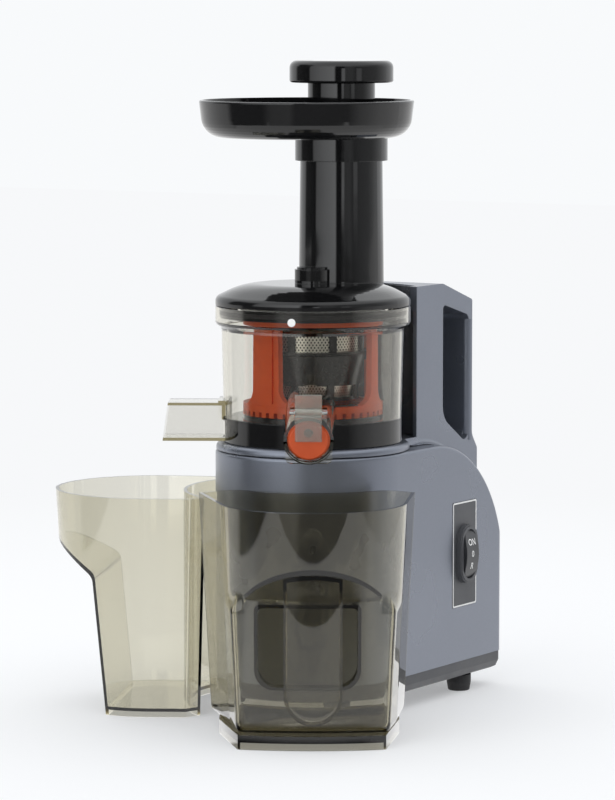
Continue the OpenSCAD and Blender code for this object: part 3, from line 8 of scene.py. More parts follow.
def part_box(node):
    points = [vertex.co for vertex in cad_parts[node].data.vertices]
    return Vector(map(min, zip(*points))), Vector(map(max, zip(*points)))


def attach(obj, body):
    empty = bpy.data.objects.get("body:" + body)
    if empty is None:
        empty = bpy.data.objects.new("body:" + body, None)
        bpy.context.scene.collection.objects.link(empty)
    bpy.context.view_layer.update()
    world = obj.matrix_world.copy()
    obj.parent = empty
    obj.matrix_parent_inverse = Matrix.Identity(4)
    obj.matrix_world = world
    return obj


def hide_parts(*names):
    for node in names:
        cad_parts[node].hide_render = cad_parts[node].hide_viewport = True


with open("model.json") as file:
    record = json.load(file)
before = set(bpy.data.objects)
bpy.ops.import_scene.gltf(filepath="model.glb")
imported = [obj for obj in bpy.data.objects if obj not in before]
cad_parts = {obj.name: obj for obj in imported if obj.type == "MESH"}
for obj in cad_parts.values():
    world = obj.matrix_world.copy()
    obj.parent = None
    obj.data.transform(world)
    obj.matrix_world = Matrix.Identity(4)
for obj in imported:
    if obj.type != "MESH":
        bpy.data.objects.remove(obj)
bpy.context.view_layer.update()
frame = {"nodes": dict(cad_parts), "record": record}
parts = frame["nodes"]

MM = 0.001
SEAL_LOW, SEAL_HIGH = (Vector(corner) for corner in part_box("deck_seal"))
AXIS = Vector(((SEAL_LOW.x + SEAL_HIGH.x) / 2, (SEAL_LOW.y + SEAL_HIGH.y) / 2, 0))    # drive axis
BODY_SIDE = AXIS.x + 66.5 * MM              # plane of the switch side
SWITCH_Y = AXIS.y + 93 * MM                 # middle of the rocker
SWITCH_Z = 99 * MM
LENS_TURN = 31.4                            # degrees from -Y to the lens, round the drive axis


# ---------- shader maths ----------

class Wire:
    """An output of a shader node, which Python's arithmetic works on."""

    def __init__(self, nodes, socket):
        self.nodes = nodes
        self.socket = socket

    def maths(self, operation, *others):
        """A Math node on this wire and on other wires or numbers."""
        sockets = dict(enumerate((self, *others)))
        return self.nodes.node("ShaderNodeMath", {"operation": operation}, sockets)

    def beside(self, out):
        """Another output of the same node."""
        return Wire(self.nodes, self.socket.node.outputs[out])

    def __add__(self, other):
        return self.maths("ADD", other)

    __radd__ = __add__

    def __mul__(self, other):
        return self.maths("MULTIPLY", other)

    __rmul__ = __mul__

    def __sub__(self, other):
        return self.maths("SUBTRACT", other)

    def __rsub__(self, other):
        return self * -1 + other

    def most(self, other):
        """The greater of the two."""
        return self.maths("MAXIMUM", other)


class Nodes:
    """The node tree of a material or of the world, with one way to add a node."""

    def __init__(self, tree):
        self.tree = tree

    def put(self, node, socket, value):
        """Gives a socket its value, or links a wire to it."""
        slot = node.inputs[socket]
        if isinstance(value, Wire):
            self.tree.links.new(value.socket, slot)
        elif slot.type == "RGBA":
            slot.default_value = (*value, 1)
        else:
            slot.default_value = value

    def node(self, kind, settings, sockets, out=0):
        """Adds a node: its settings first, then the values or links of its sockets."""
        node = self.tree.nodes.new(kind)
        for name, value in settings.items():
            if name == "stops":
                set_stops(node.color_ramp, value)
            else:
                setattr(node, name, value)
        for socket, value in sockets.items():
            self.put(node, socket, value)
        return Wire(self, node.outputs[out])

    # the nodes that most finishes use
    def place(self):
        """Where a point of the surface lies in the frame, in metres."""
        return self.node("ShaderNodeTexCoord", {}, {}, "Object")

    def noise(self, scale, detail=3, rough=0.55, where=None):
        """Cloudy noise between 0 and 1."""
        sockets = {"Vector": where or self.place(), "Scale": scale, "Detail": detail, "Roughness": rough}
        return self.node("ShaderNodeTexNoise", {}, sockets)

    def spread(self, value, low, high, to_low=0, to_high=1):
        """Carries a range over to another one, and stops at its ends."""
        sockets = {"Value": value, "From Min": low, "From Max": high, "To Min": to_low, "To Max": to_high}
        return self.node("ShaderNodeMapRange", {"clamp": True}, sockets)

    def between(self, factor, colour_a, colour_b):
        """Mixes two colours. The node's colour sockets share their names with others and go by number."""
        factor_in, a_in, b_in, colour_out = 0, 6, 7, 2
        sockets = {factor_in: factor, a_in: colour_a, b_in: colour_b}
        return self.node("ShaderNodeMix", {"data_type": "RGBA"}, sockets, colour_out)

    def rounded_edges(self, radius):
        """Normals that show sharp edges as if they were broken with a radius."""
        rays = 4
        return self.node("ShaderNodeBevel", {"samples": rays}, {"Radius": radius}, "Normal")

    def relief(self, height, depth, strength=1.0, under=None):
        """Bumps of a depth, laid over the normals that are under them."""
        sockets = {"Height": height, "Distance": depth, "Strength": strength}
        if under:
            sockets["Normal"] = under
        return self.node("ShaderNodeBump", {}, sockets)


class Finish(Nodes):
    """A material round one Principled shader."""

    def __init__(self, name, **values):
        self.material = bpy.data.materials.new(name)
        self.material.use_nodes = True
        super().__init__(self.material.node_tree)
        self.shader = self.tree.nodes["Principled BSDF"]
        self.give(**values)

    def give(self, **values):
        """Sets or links the shader's own sockets, with _ for a space in their names."""
        for socket, value in values.items():
            self.put(self.shader, socket.replace("_", " "), value)

    def end(self, socket, value):
        """Links a wire to the Surface or Volume of the material's output."""
        self.put(self.tree.nodes["Material Output"], socket, value)


def set_stops(ramp, stops):
    """Gives a ramp its levels of grey, from left to right."""
    while len(ramp.elements) < len(stops):
        ramp.elements.new(1)
    for element, (position, level) in zip(ramp.elements, stops):
        element.position = position
        element.color = (level, level, level, 1)


# ---------- finishes ----------
# A texture's scale is in features a metre, and a relief's depth in metres.

def body_paint():
    """Satin grey with a fine metal flake and the faint orange peel of a sprayed shell."""
    f = Finish("satin grey paint", Metallic=0.72)
    flake = f.noise(2600, 2)
    peel = f.noise(420, 2)
    cloud = f.noise(14, 3)
    dark, light, cloudy = (0.19, 0.208, 0.25), (0.226, 0.244, 0.29), (0.19, 0.205, 0.244)
    colour = f.between(f.spread(flake, 0.35, 0.7), dark, light)
    f.give(Base_Color=f.between(f.spread(cloud, 0.3, 0.7, 0, 0.18), colour, cloudy))
    f.give(Roughness=f.spread(cloud, 0.3, 0.7, 0.26, 0.33))
    sprayed = f.relief(peel, 0.00003, 0.4, f.rounded_edges(0.0009))
    f.give(Normal=f.relief(flake, 0.00002, 0.35, sprayed))
    return f.material


def gloss_black(name, level):
    """Polished black with a soft ripple, wiped smears and a little dust."""
    f = Finish(name, IOR=1.5)
    ripple = f.noise(38, 1)
    smear = f.noise(24, 5, 0.6)
    dust = f.noise(900, 2)
    clean, dusty = (level, level, level * 1.08), (0.02, 0.02, 0.022)
    f.give(Base_Color=f.between(f.spread(dust, 0.66, 0.8, 0, 0.25), clean, dusty))
    f.give(Roughness=f.spread(smear, 0.4, 0.75, 0.04, 0.09))
    f.give(Normal=f.relief(ripple, 0.0002, 0.25, f.rounded_edges(0.0007)))
    return f.material


def fine_grain(name, colour, lighter, rough, grain=2200, depth=0.00006):
    """Moulded plastic or rubber with an even grain."""
    f = Finish(name)
    pits = f.noise(grain, 2)
    wear = f.noise(40, 4)
    f.give(Base_Color=f.between(f.spread(pits, 0.3, 0.7), colour, lighter))
    f.give(Roughness=f.spread(wear, 0.3, 0.7, rough - 0.06, rough + 0.06))
    f.give(Normal=f.relief(pits, depth, 0.6, f.rounded_edges(0.0006)))
    return f.material


def smoked(name, tint, density, rough=0.02, gloss=0.5):
    """See-through plastic that darkens with its thickness."""
    f = Finish(name, Base_Color=(1, 1, 1), Transmission_Weight=1.0, IOR=1.56, Specular_IOR_Level=gloss)
    ripple = f.noise(30, 2)
    haze = f.noise(70, 4)
    f.give(Roughness=f.spread(haze, 0.35, 0.75, rough * 0.6, rough * 1.6))
    f.give(Normal=f.relief(ripple, 0.0002, 0.12))
    f.end("Volume", f.node("ShaderNodeVolumeAbsorption", {}, {"Color": tint, "Density": density}))
    return f.material


def milky_cap():
    """Clear plastic with a moulded haze."""
    f = Finish("milky cap", Transmission_Weight=0.86, IOR=1.49)
    cloud = f.noise(90, 3)
    f.give(Base_Color=f.between(f.spread(cloud, 0.3, 0.7), (0.8, 0.78, 0.7), (0.72, 0.7, 0.62)))
    f.give(Roughness=f.spread(cloud, 0.3, 0.7, 0.16, 0.28))
    f.give(Normal=f.relief(cloud, 0.0001, 0.2, f.rounded_edges(0.0004)))
    return f.material


def orange(name, colour, deeper, rough):
    """Soft orange plastic that light enters a little."""
    f = Finish(name, Subsurface_Weight=0.08, Subsurface_Scale=0.002, IOR=1.46)
    cloud = f.noise(60, 3)
    grain = f.noise(1500, 2)
    f.give(Base_Color=f.between(f.spread(cloud, 0.3, 0.7), colour, deeper))
    f.give(Roughness=f.spread(grain, 0.3, 0.7, rough - 0.05, rough + 0.05))
    f.give(Normal=f.relief(grain, 0.00004, 0.4, f.rounded_edges(0.0005)))
    return f.material


def turned_steel():
    """Shafts and screws, with the fine rings of a lathe."""
    f = Finish("turned steel", Metallic=1.0, Base_Color=(0.6, 0.61, 0.63))
    stretched = f.node("ShaderNodeMapping", {}, {"Vector": f.place(), "Scale": (1, 1, 40)})
    lines = f.noise(160, 3, 0.6, stretched)
    f.give(Roughness=f.spread(lines, 0.3, 0.7, 0.2, 0.36), Normal=f.relief(lines, 0.00002, 0.5))
    return f.material


def perforated_steel():
    """Sheet with staggered rows of fine round holes, laid round the drive axis."""
    f = Finish("perforated steel", Metallic=0.9)
    holes_round, pitch, hole_r, soft = 92, 1.75 * MM, 0.62 * MM, 0.08 * MM
    sheet_r = 43 * MM
    gap = 2 * math.pi * sheet_r / holes_round
    x = f.node("ShaderNodeSeparateXYZ", {}, {"Vector": f.place()}, "X")
    y, z = x.beside("Y"), x.beside("Z")
    turn = (y - AXIS.y).maths("ARCTAN2", x - AXIS.x) * (holes_round / (2 * math.pi))
    row = z * (1 / pitch)
    odd = row.maths("FLOOR").maths("MODULO", 2) * 0.5
    across = ((turn + odd).maths("FRACT") - 0.5) * gap
    up = (row.maths("FRACT") - 0.5) * pitch
    away = (across * across + up * up).maths("SQRT")
    hole = f.spread(away, hole_r + soft, hole_r - soft)
    smear = f.noise(50, 3)
    steel = f.between(f.spread(smear, 0.3, 0.7), (0.8, 0.77, 0.68), (0.68, 0.65, 0.57))
    f.give(Base_Color=f.between(hole, steel, (0.02, 0.019, 0.016)))
    f.give(Roughness=f.spread(smear, 0.3, 0.7, 0.28, 0.4))
    f.give(Normal=f.relief(1 - hole, 0.0002, 0.6))
    return f.material


def cast_alloy():
    """Die-cast gearbox metal with a sandy skin."""
    f = Finish("cast alloy", Metallic=0.85)
    sand = f.noise(700, 4)
    f.give(Base_Color=f.between(f.spread(sand, 0.3, 0.7), (0.42, 0.43, 0.44), (0.55, 0.56, 0.57)))
    f.give(Roughness=f.spread(sand, 0.3, 0.7, 0.42, 0.6), Normal=f.relief(sand, 0.0001, 0.5))
    return f.material


def wound_copper():
    """Enamelled wire, wound in rows."""
    f = Finish("enamelled copper", Metallic=0.7, Roughness=0.3)
    sockets = {"Vector": f.place(), "Scale": 420, "Distortion": 1.5}
    wire = f.node("ShaderNodeTexWave", {"bands_direction": "Z"}, sockets)
    f.give(Base_Color=f.between(wire, (0.35, 0.12, 0.04), (0.72, 0.34, 0.14)))
    f.give(Normal=f.relief(wire, 0.0002, 0.7))
    return f.material


def stacked_steel():
    """The edges of the motor's stacked sheets."""
    f = Finish("stacked steel sheets", Metallic=0.8)
    sheets = f.node("ShaderNodeTexWave", {"bands_direction": "Z"}, {"Vector": f.place(), "Scale": 300})
    f.give(Base_Color=f.between(sheets, (0.16, 0.16, 0.17), (0.34, 0.34, 0.36)))
    f.give(Roughness=f.spread(sheets, 0, 1, 0.35, 0.5))
    return f.material


finishes = {
    "body_grey": body_paint(),
    "gloss_black": gloss_black("gloss black", 0.0055),
    "dark_plastic": fine_grain("base plate grey", (0.065, 0.067, 0.075), (0.085, 0.088, 0.096), 0.5),
    "rubber_black": fine_grain("foot rubber", (0.02, 0.02, 0.021), (0.032, 0.032, 0.034), 0.75),
    "switch_black": fine_grain("rocker grey", (0.03, 0.032, 0.036), (0.042, 0.044, 0.05), 0.35,
                               grain=1800, depth=0.00003),
    "steel": turned_steel(),
    "core_steel": stacked_steel(),
    "copper": wound_copper(),
    "cast_alloy": cast_alloy(),
    "gear_nylon": fine_grain("natural nylon", (0.7, 0.67, 0.55), (0.78, 0.75, 0.64), 0.45),
    "smoke_plastic": smoked("smoked bowl", (0.66, 0.62, 0.46), 110),
    "smoke_vessel": smoked("smoked vessel", (0.66, 0.62, 0.43), 260),
    "clear_plastic": milky_cap(),
    "orange_silicone": orange("orange silicone", (0.66, 0.1, 0.022), (0.6, 0.085, 0.02), 0.5),
    "brush_orange": orange("brush orange", (1.0, 0.14, 0.02), (0.94, 0.12, 0.016), 0.45),
    "strainer_plastic": fine_grain("strainer frame", (0.014, 0.013, 0.011), (0.024, 0.023, 0.019), 0.22,
                                   grain=900, depth=0.00002),
    "strainer_steel": perforated_steel(),
    "auger_plastic": gloss_black("auger black", 0.015),
    "white_dot": fine_grain("white print", (0.86, 0.86, 0.85), (0.9, 0.9, 0.89), 0.4),
}
# Painted shade: the panel between the bowl and the tower is a darker grey than the body, standing in for the
# shade in that gap.
tower_shade_finish = fine_grain("tower panel", (0.1, 0.108, 0.125), (0.125, 0.133, 0.15), 0.3, depth=0.00003)
jug_finish = smoked("smoked jug", (0.6, 0.567, 0.433), 440, rough=0.012, gloss=0.62)

slot_of = {part["node"]: part["material_slot"] for part in frame["record"]["subparts"]}
for name, part in parts.items():
    part.data.materials.clear()
    # The tower's front panel gets the darker grey of painted shade; every other part gets its slot's finish.
    part.data.materials.append(tower_shade_finish if name == "tower_front_panel" else finishes[slot_of[name]])


# ---------- drawing ----------

def arc(centre, r, start, end, steps):
    """Points of an arc between two angles in degrees, both ends included."""
    turns = [math.radians(start + (end - start) * step / steps) for step in range(steps + 1)]
    return [(centre[0] + r * math.cos(turn), centre[1] + r * math.sin(turn)) for turn in turns]


def rounded_rectangle(width, height, r):
    """Points of a rectangle with round corners, anticlockwise about the origin."""
    points = []
    for quarter, (side, end) in enumerate([(1, 1), (-1, 1), (-1, -1), (1, -1)]):
        centre = (side * (width / 2 - r), end * (height / 2 - r))
        points += arc(centre, r, 90 * quarter, 90 * (quarter + 1), 6)
    return points


def printed_mark(name, verts, faces, body):
    """A white print whose points are in the frame; it moves with a body."""
    mesh = bpy.data.meshes.new(name)
    mesh.from_pydata(verts, [], faces)
    mesh.validate()
    mesh.materials.append(finishes["white_dot"])
    piece = bpy.data.objects.new(name, mesh)
    bpy.context.scene.collection.objects.link(piece)
    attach(piece, body)


# ---------- printed marks ----------

def panel_outline():
    """White line printed round the switch panel."""
    width, height, corner_r, line = 33 * MM, 73 * MM, 1.4 * MM, 1.1 * MM
    face = BODY_SIDE + 0.2 * MM             # the panel stands proud of the body
    sunk, proud = -0.02 * MM, 0.08 * MM
    loops = []
    for inset in (0, line):
        loop = rounded_rectangle(width - 2 * inset, height - 2 * inset, corner_r - inset / 2)
        loops.append([(SWITCH_Y + across, SWITCH_Z + up) for across, up in loop])
    n = len(loops[0])
    verts = [(face + lift, y, z) for lift in (sunk, proud) for loop in loops for y, z in loop]
    faces = []
    for i in range(n):
        j = (i + 1) % n
        faces += [(2 * n + i, 2 * n + j, 3 * n + j, 3 * n + i), (i, n + i, n + j, j),
                  (i, j, 2 * n + j, 2 * n + i), (n + i, 3 * n + i, 3 * n + j, n + j)]
    printed_mark("panel_outline", verts, faces, "base")


def rocker_word(name, text, up, size):
    """A word printed on the rocker's crown."""
    crown_r, crown_x = 39 * MM, BODY_SIDE - 32 * MM     # radius and centre of the crown
    curve = bpy.data.curves.new(name, "FONT")
    curve.body = text
    curve.size = size
    curve.align_x, curve.align_y = "CENTER", "CENTER"
    curve.extrude = 0.05 * MM
    curve.offset = 0.12 * MM
    source = bpy.data.objects.new(name + "_source", curve)
    bpy.context.scene.collection.objects.link(source)
    bpy.context.view_layer.update()
    flat = bpy.data.meshes.new_from_object(source.evaluated_get(bpy.context.evaluated_depsgraph_get()))
    bpy.data.objects.remove(source)
    verts = []
    for vertex in flat.vertices:
        across, along, lift = vertex.co
        z = up + along
        verts.append((crown_x + math.sqrt(crown_r ** 2 - z ** 2) + lift, SWITCH_Y + across, SWITCH_Z + z))
    printed_mark(name, verts, [tuple(face.vertices) for face in flat.polygons], "rocker")


panel_outline()
rocker_word("rocker_word_on", "ON", 8.2 * MM, 6.2 * MM)
rocker_word("rocker_word_off", "0", 0, 6 * MM)
rocker_word("rocker_word_reverse", "R", -8.4 * MM, 6.2 * MM)


# ---------- juice jug ----------
# It is drawn with the drive axis at the origin and its front at -Y, then turned towards the lens.

JUG_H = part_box("juice_jug")[1][2]           # height of its rim
JUG_WALL = 2.3 * MM
JUG_CENTRE = Vector((0, -118.6)) * MM       # of the round front
JUG_FRONT_R = 62 * MM
JUG_BACK_R = 72 * MM                        # hollow back, which goes round the base
JUG_LEFT = Vector((-76, -68)) * MM          # rear corners at the rim
JUG_RIGHT = Vector((68, -68)) * MM
JUG_BACK_TIP = Vector((0, -20)) * MM        # point that the edges from the rear corners aim at
JUG_FOOT = 0.885                            # the foot's share of the rim's size
JUG_FLOOR = 11 * MM
PANEL_Y = -161.5 * MM                       # middle of the crowned panel under the round front
CROWN_R = 260 * MM
SHELF_Z = 94.5 * MM                         # where the sloped ceiling leaves the panel
SQUARE_Z, ROUND_Z = 88 * MM, 101 * MM       # the front is square below the one and round over the other
FLANK_LEAN = 0.17                           # how far the square front's flanks lean forward
CORNER_TURN = 38.5                          # of the square front's corners, from the jug's sides
PLINTH_H = 9 * MM
PLINTH_FRONT = -165 * MM


def heading(turn):
    """Unit vector at an angle from +X."""
    return Vector((math.cos(turn), math.sin(turn)))


def jug_scale(z):
    """Size of a section, as a share of the rim's."""
    return JUG_FOOT + (1 - JUG_FOOT) * z / JUG_H


def drafted(point, z):
    """Where a point of the rim lies in the section at a height."""
    return JUG_CENTRE + (point - JUG_CENTRE) * jug_scale(z)


def ease(value, low, high):
    """Goes from 0 to 1 between two values, with soft ends."""
    share = min(max((value - low) / (high - low), 0), 1)
    return share * share * (3 - 2 * share)


def tangent_turn(corner, r, side):
    """Angle at which the flank from a corner touches the round front."""
    away = corner - JUG_CENTRE
    return math.atan2(away.y, away.x) + side * math.acos(r / away.length)


def flat_reach(way, normal, distance):
    """How far along a direction a flat face lies, from the round front's centre."""
    facing, grazing, out_of_reach = way.dot(normal), 1e-3, 1.0
    return distance / facing if facing > grazing else out_of_reach


def rear_corners(z, inset):
    """Left and right rear corners of a section, for a form set in by a wall."""
    corner_share = 1.1                      # a corner goes in by more than its walls
    shift = Vector((inset * corner_share, 0))
    return drafted(JUG_LEFT + shift, z), drafted(JUG_RIGHT - shift, z)


def crowned_reach(way, inset):
    """How far along a direction the crowned front panel lies."""
    start = JUG_CENTRE - Vector((0, PANEL_Y + inset + CROWN_R))
    b, c = start.dot(way), start.dot(start) - CROWN_R ** 2
    return -b + math.sqrt(b * b - c)


def front_reach(turn, z, inset):
    """Distance from the centre to the face: round above, squared towards the foot."""
    r = (JUG_FRONT_R - inset) * jug_scale(z)
    left, right = rear_corners(z, inset)
    touch_left, touch_right = tangent_turn(left, r, 1), tangent_turn(right, r, -1)
    way = heading(turn)
    whole = 2 * math.pi
    on_flank = turn % whole < touch_left % whole or turn % whole > touch_right % whole
    round_reach = r
    if on_flank:
        round_reach = min(flat_reach(way, heading(touch), r) for touch in (touch_left, touch_right))
    square = 1 - ease(z, SQUARE_Z, ROUND_Z)
    if not square or way.y > -FLANK_LEAN:
        return round_reach
    behind = 0.2 * MM                       # keeps it out of the panel's cut
    faces = [crowned_reach(way, inset + behind)]
    for side in (-1, 1):
        faces.append(flat_reach(way, Vector((side, -FLANK_LEAN)).normalized(), r))
    sharpness = 46                          # of the corners between these faces
    square_reach = sum(reach ** -sharpness for reach in faces) ** (-1 / sharpness)
    return round_reach + (square_reach - round_reach) * square


def front_turns():
    """Angles of the outline from the left rear corner to the right one, closer at the square corners."""
    start, end, steps = 146.4, 360 + 36.7, 90
    close_step, close_steps = 0.45, 14
    turns = [start + (end - start) * step / steps for step in range(steps + 1)]
    for corner in (180 + CORNER_TURN, 360 - CORNER_TURN):
        turns += [corner + close_step * step for step in range(-close_steps, close_steps + 1)]
    return [math.radians(turn) for turn in sorted(turns)]


FRONT_TURNS = front_turns()


def fill_gaps(points):
    """Spreads the points that were left out evenly between their neighbours."""
    known = [i for i, point in enumerate(points) if point is not None]
    for a, b in zip(known, known[1:]):
        for i in range(a + 1, b):
            points[i] = points[a].lerp(points[b], (i - a) / (b - a))
    return points


def meet_back(corner, tip, back_r):
    """Where the edge from a rear corner meets the hollow back."""
    way = tip - corner
    a, b, c = way.dot(way), 2 * corner.dot(way), corner.dot(corner) - back_r ** 2
    return corner + way * ((-b - math.sqrt(b * b - 4 * a * c)) / (2 * a))


def bend(start, corner, end):
    """Points of a soft corner."""
    steps = 8
    shares = [step / steps for step in range(steps + 1)]
    return [start.lerp(corner, share).lerp(corner.lerp(end, share), share) for share in shares]


def jug_outline(z, inset):
    """Section at a height, set in by a wall, as points anticlockwise."""
    left, right = rear_corners(z, inset)
    clear = 0.8 * MM                        # the front's points keep this far from the rear corners
    points = [left]
    for turn in FRONT_TURNS[1:-1]:
        point = JUG_CENTRE + heading(turn) * front_reach(turn, z, inset)
        points.append(point if point.y < min(left.y, right.y) - clear else None)
    points = fill_gaps(points + [right])
    back_r = JUG_BACK_R + inset
    tip = drafted(JUG_BACK_TIP, z)
    meet_right, meet_left = (meet_back(corner, tip, back_r) for corner in (right, left))
    ear, steps = 9 * MM / back_r, 36        # the hollow starts after its soft corner
    start = math.atan2(meet_right.y, meet_right.x) - ear
    end = math.atan2(meet_left.y, meet_left.x) + ear
    hollow = [heading(start + (end - start) * step / steps) * back_r for step in range(steps + 1)]
    points += bend(meet_right.lerp(right, 0.5), meet_right, hollow[0]) + hollow[1:-1]
    return points + bend(hollow[-1], meet_left, meet_left.lerp(left, 0.5))


def loft(name, rings):
    """A closed solid through rings of 3-D points, all with the same count."""
    n = len(rings[0])
    verts = [point for ring in rings for point in ring]
    faces = [tuple(reversed(range(n))), tuple(range((len(rings) - 1) * n, len(rings) * n))]
    for k in range(len(rings) - 1):
        for i in range(n):
            j = (i + 1) % n
            faces.append((k * n + i, k * n + j, (k + 1) * n + j, (k + 1) * n + i))
    mesh = bpy.data.meshes.new(name)
    mesh.from_pydata(verts, [], faces)
    solid = bpy.data.objects.new(name, mesh)
    bpy.context.scene.collection.objects.link(solid)
    return solid


def layer(points, z):
    """An outline at a height."""
    return [Vector((point[0], point[1], z)) for point in points]


def upright(name, points, z_low, z_high):
    """A solid with the same outline from one height to another."""
    return loft(name, [layer(points, z_low), layer(points, z_high)])


def combine(solid, operation, *others):
    """Cuts, joins or keeps the overlap of solids; the others are used up."""
    for other in others:
        modifier = solid.modifiers.new("shape", "BOOLEAN")
        modifier.operation = operation
        modifier.solver = "EXACT"
        modifier.object = other
        bpy.context.view_layer.update()
        shaped = bpy.data.meshes.new_from_object(solid.evaluated_get(bpy.context.evaluated_depsgraph_get()))
        solid.modifiers.clear()
        solid.data = shaped
        bpy.data.objects.remove(other)
    return solid


def jug_form(inset, z_low, z_high):
    """The jug's outer form, or its inside when it is set in by the wall."""
    edge, edge_share = 5 * MM, 0.8          # height of the rounding at the foot, and how far it goes in
    turning_low, turning_high = 84 * MM, 103.5 * MM     # closer sections where the front turns square
    heights = [z_low + edge * share for share in (0, 0.12, 0.3, 0.6, 1)]
    stretches = [(z_low + edge, turning_low, 5), (turning_low, turning_high, 13), (turning_high, z_high, 8)]
    for low, high, steps in stretches:
        heights += [low + (high - low) * step / steps for step in range(1, steps + 1)]
    rings = []
    for z in heights:
        up = min(z - z_low, edge)
        rounding = edge - math.sqrt(edge ** 2 - (edge - up) ** 2)
        rings.append(layer(jug_outline(z, inset + rounding * edge_share), z))
    return loft("jug_form", rings)


def front_cut(inset):
    """What lies outside the crowned panel, under the sloped ceiling."""
    ceiling_share = 1.3                     # the sloped ceiling's wall measures more straight up
    shelf_z = SHELF_Z + inset * ceiling_share
    out, slope, shelf_rise = 70 * MM, 1.22, 0.6
    far_y, below = -300 * MM, -20 * MM
    half_steps, step_x = 22, 5 * MM
    rings = []
    for step in range(-half_steps, half_steps + 1):
        x = step * step_x
        panel_y = PANEL_Y + inset + CROWN_R - math.sqrt(CROWN_R ** 2 - x * x)
        edge_z = shelf_z + (panel_y - PANEL_Y - inset) * shelf_rise
        high = edge_z + out * slope
        side = [(panel_y, below), (panel_y, edge_z), (panel_y - out, high), (far_y, high), (far_y, below)]
        rings.append([Vector((x, y, z)) for y, z in side])
    return loft("jug_front_cut", rings)


def finger_pocket(grow):
    """Finger recess behind the tongue: its rear wall is smaller than its mouth and leans back."""
    half_w, low, high = 34.5 * MM + grow, 38 * MM - grow, 93 * MM + grow
    upper_r, lower_r = 4 * MM, 14 * MM
    depth, lean, draft, mouth = 16 * MM + grow, 0.16, 0.93, -75 * MM
    middle_x, middle_z = -3.5 * MM, (low + high) / 2
    loop = []
    for side, z, r, start in [(1, high - upper_r, upper_r, 0), (-1, high - upper_r, upper_r, 90),
                              (-1, low + lower_r, lower_r, 180), (1, low + lower_r, lower_r, 270)]:
        loop += arc((middle_x + side * (half_w - r), z), r, start, start + 90, 8)
    rings = []
    for inwards, tilt, share in ((depth, lean, draft), (mouth, 0, 1)):
        ring = []
        for x, z in loop:
            across, up = x - middle_x, z - middle_z
            y = PANEL_Y + inwards + up * tilt
            ring.append(Vector((middle_x + across * share, y, middle_z + up * share)))
        rings.append(ring)
    return loft("jug_pocket", rings)


def tongue_layer(inset, r_in, r_out, z_high):
    """A curved layer of the grip tongue, between two radii, with a round lower end."""
    half, low = 19 * MM - inset, 17.5 * MM + inset
    near_y, far_y, over = -100 * MM, -240 * MM, 150 * MM
    loop = [(half, z_high), (-half, z_high)] + arc((0, low + half), half, 180, 360, 24)
    outline = loft("jug_tongue", [[Vector((x, y, z)) for x, z in loop] for y in (near_y, far_y)])
    outer, inner = (upright("jug_round", arc(JUG_CENTRE, r, 0, 358, 179), 0, over) for r in (r_out, r_in))
    return combine(outline, "INTERSECT", combine(outer, "DIFFERENCE", inner))


def grip_tongue():
    """Hollow tongue in front of the finger recess, which hangs from the sloped ceiling."""
    face = JUG_FRONT_R - 2.4 * MM
    deep, channel_deep = 7 * MM, 12 * MM
    tongue = tongue_layer(0, face - deep, face, 121 * MM)
    channel = tongue_layer(JUG_WALL, face - channel_deep, face - JUG_WALL, 124 * MM)
    tongue = combine(tongue, "DIFFERENCE", channel)
    rooted = 1.7 * MM                       # how far its ends go into the wall
    return combine(tongue, "INTERSECT", front_cut(rooted))


def plinth_outline(inset):
    """Foot outline with chamfered corners and a slightly crowned front."""
    corner_share, steps = 0.8, 10           # a chamfered corner goes in by less than its walls
    half, front = 48 * MM - inset * corner_share, PLINTH_FRONT + inset
    bulge, aside = 5.5 * MM, 0.7 * MM
    right, left = 57 * MM - inset, -62 * MM + inset
    flank_front, flank_back = -105 * MM, -72 * MM
    crown = []
    for step in range(-steps, steps + 1):
        across = step / steps
        crown.append((half * across - aside, front - bulge * (1 - across ** 2)))
    back_r = JUG_BACK_R + 1 * MM + inset    # the foot stands a little farther from the base
    hollow = arc((0, 0), back_r, -46, -134, 22)
    return (crown + [(right, flank_front), (right, flank_back)] + hollow
            + [(left, flank_back), (left, flank_front)])


def jug_plinth():
    """Foot plate, hollow underneath."""
    hollow_h, overlap, below = 4.4 * MM, 0.4 * MM, -1 * MM
    plate = upright("jug_plinth", plinth_outline(0), 0, PLINTH_H + overlap)
    return combine(plate, "DIFFERENCE", upright("jug_hollow", plinth_outline(JUG_WALL), below, hollow_h))


def juice_jug():
    """The whole jug as one moulding, in place of the plain one."""
    over_rim = JUG_H + 1 * MM
    shell = combine(jug_form(0, PLINTH_H, JUG_H), "DIFFERENCE", front_cut(0))
    inside = combine(jug_form(JUG_WALL, JUG_FLOOR, over_rim), "DIFFERENCE",
                     front_cut(JUG_WALL), finger_pocket(JUG_WALL))
    shell = combine(shell, "DIFFERENCE", inside, finger_pocket(0))
    shell = combine(shell, "UNION", jug_plinth(), grip_tongue())
    mesh = shell.data
    mesh.transform(Matrix.Translation(AXIS) @ Matrix.Rotation(math.radians(LENS_TURN), 4, "Z"))
    mesh.materials.clear()
    mesh.materials.append(jug_finish)
    for face in mesh.polygons:
        face.use_smooth = True
    sharp_from = 24                         # degrees between faces
    mesh.set_sharp_from_angle(angle=math.radians(sharp_from))
    shell.name = "juice_jug_shell"
    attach(shell, "jug")
    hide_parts("juice_jug")


juice_jug()


# ---------- studio ----------

def studio_frame(nodes, place):
    """How far a point or direction lies towards the lens, and to its right."""
    turn = math.radians(LENS_TURN)
    shares = []
    for way in ((math.sin(turn), -math.cos(turn), 0), (math.cos(turn), math.sin(turn), 0)):
        settings = {"operation": "DOT_PRODUCT"}
        shares.append(nodes.node("ShaderNodeVectorMath", settings, {0: place, 1: way}, "Value"))
    return shares


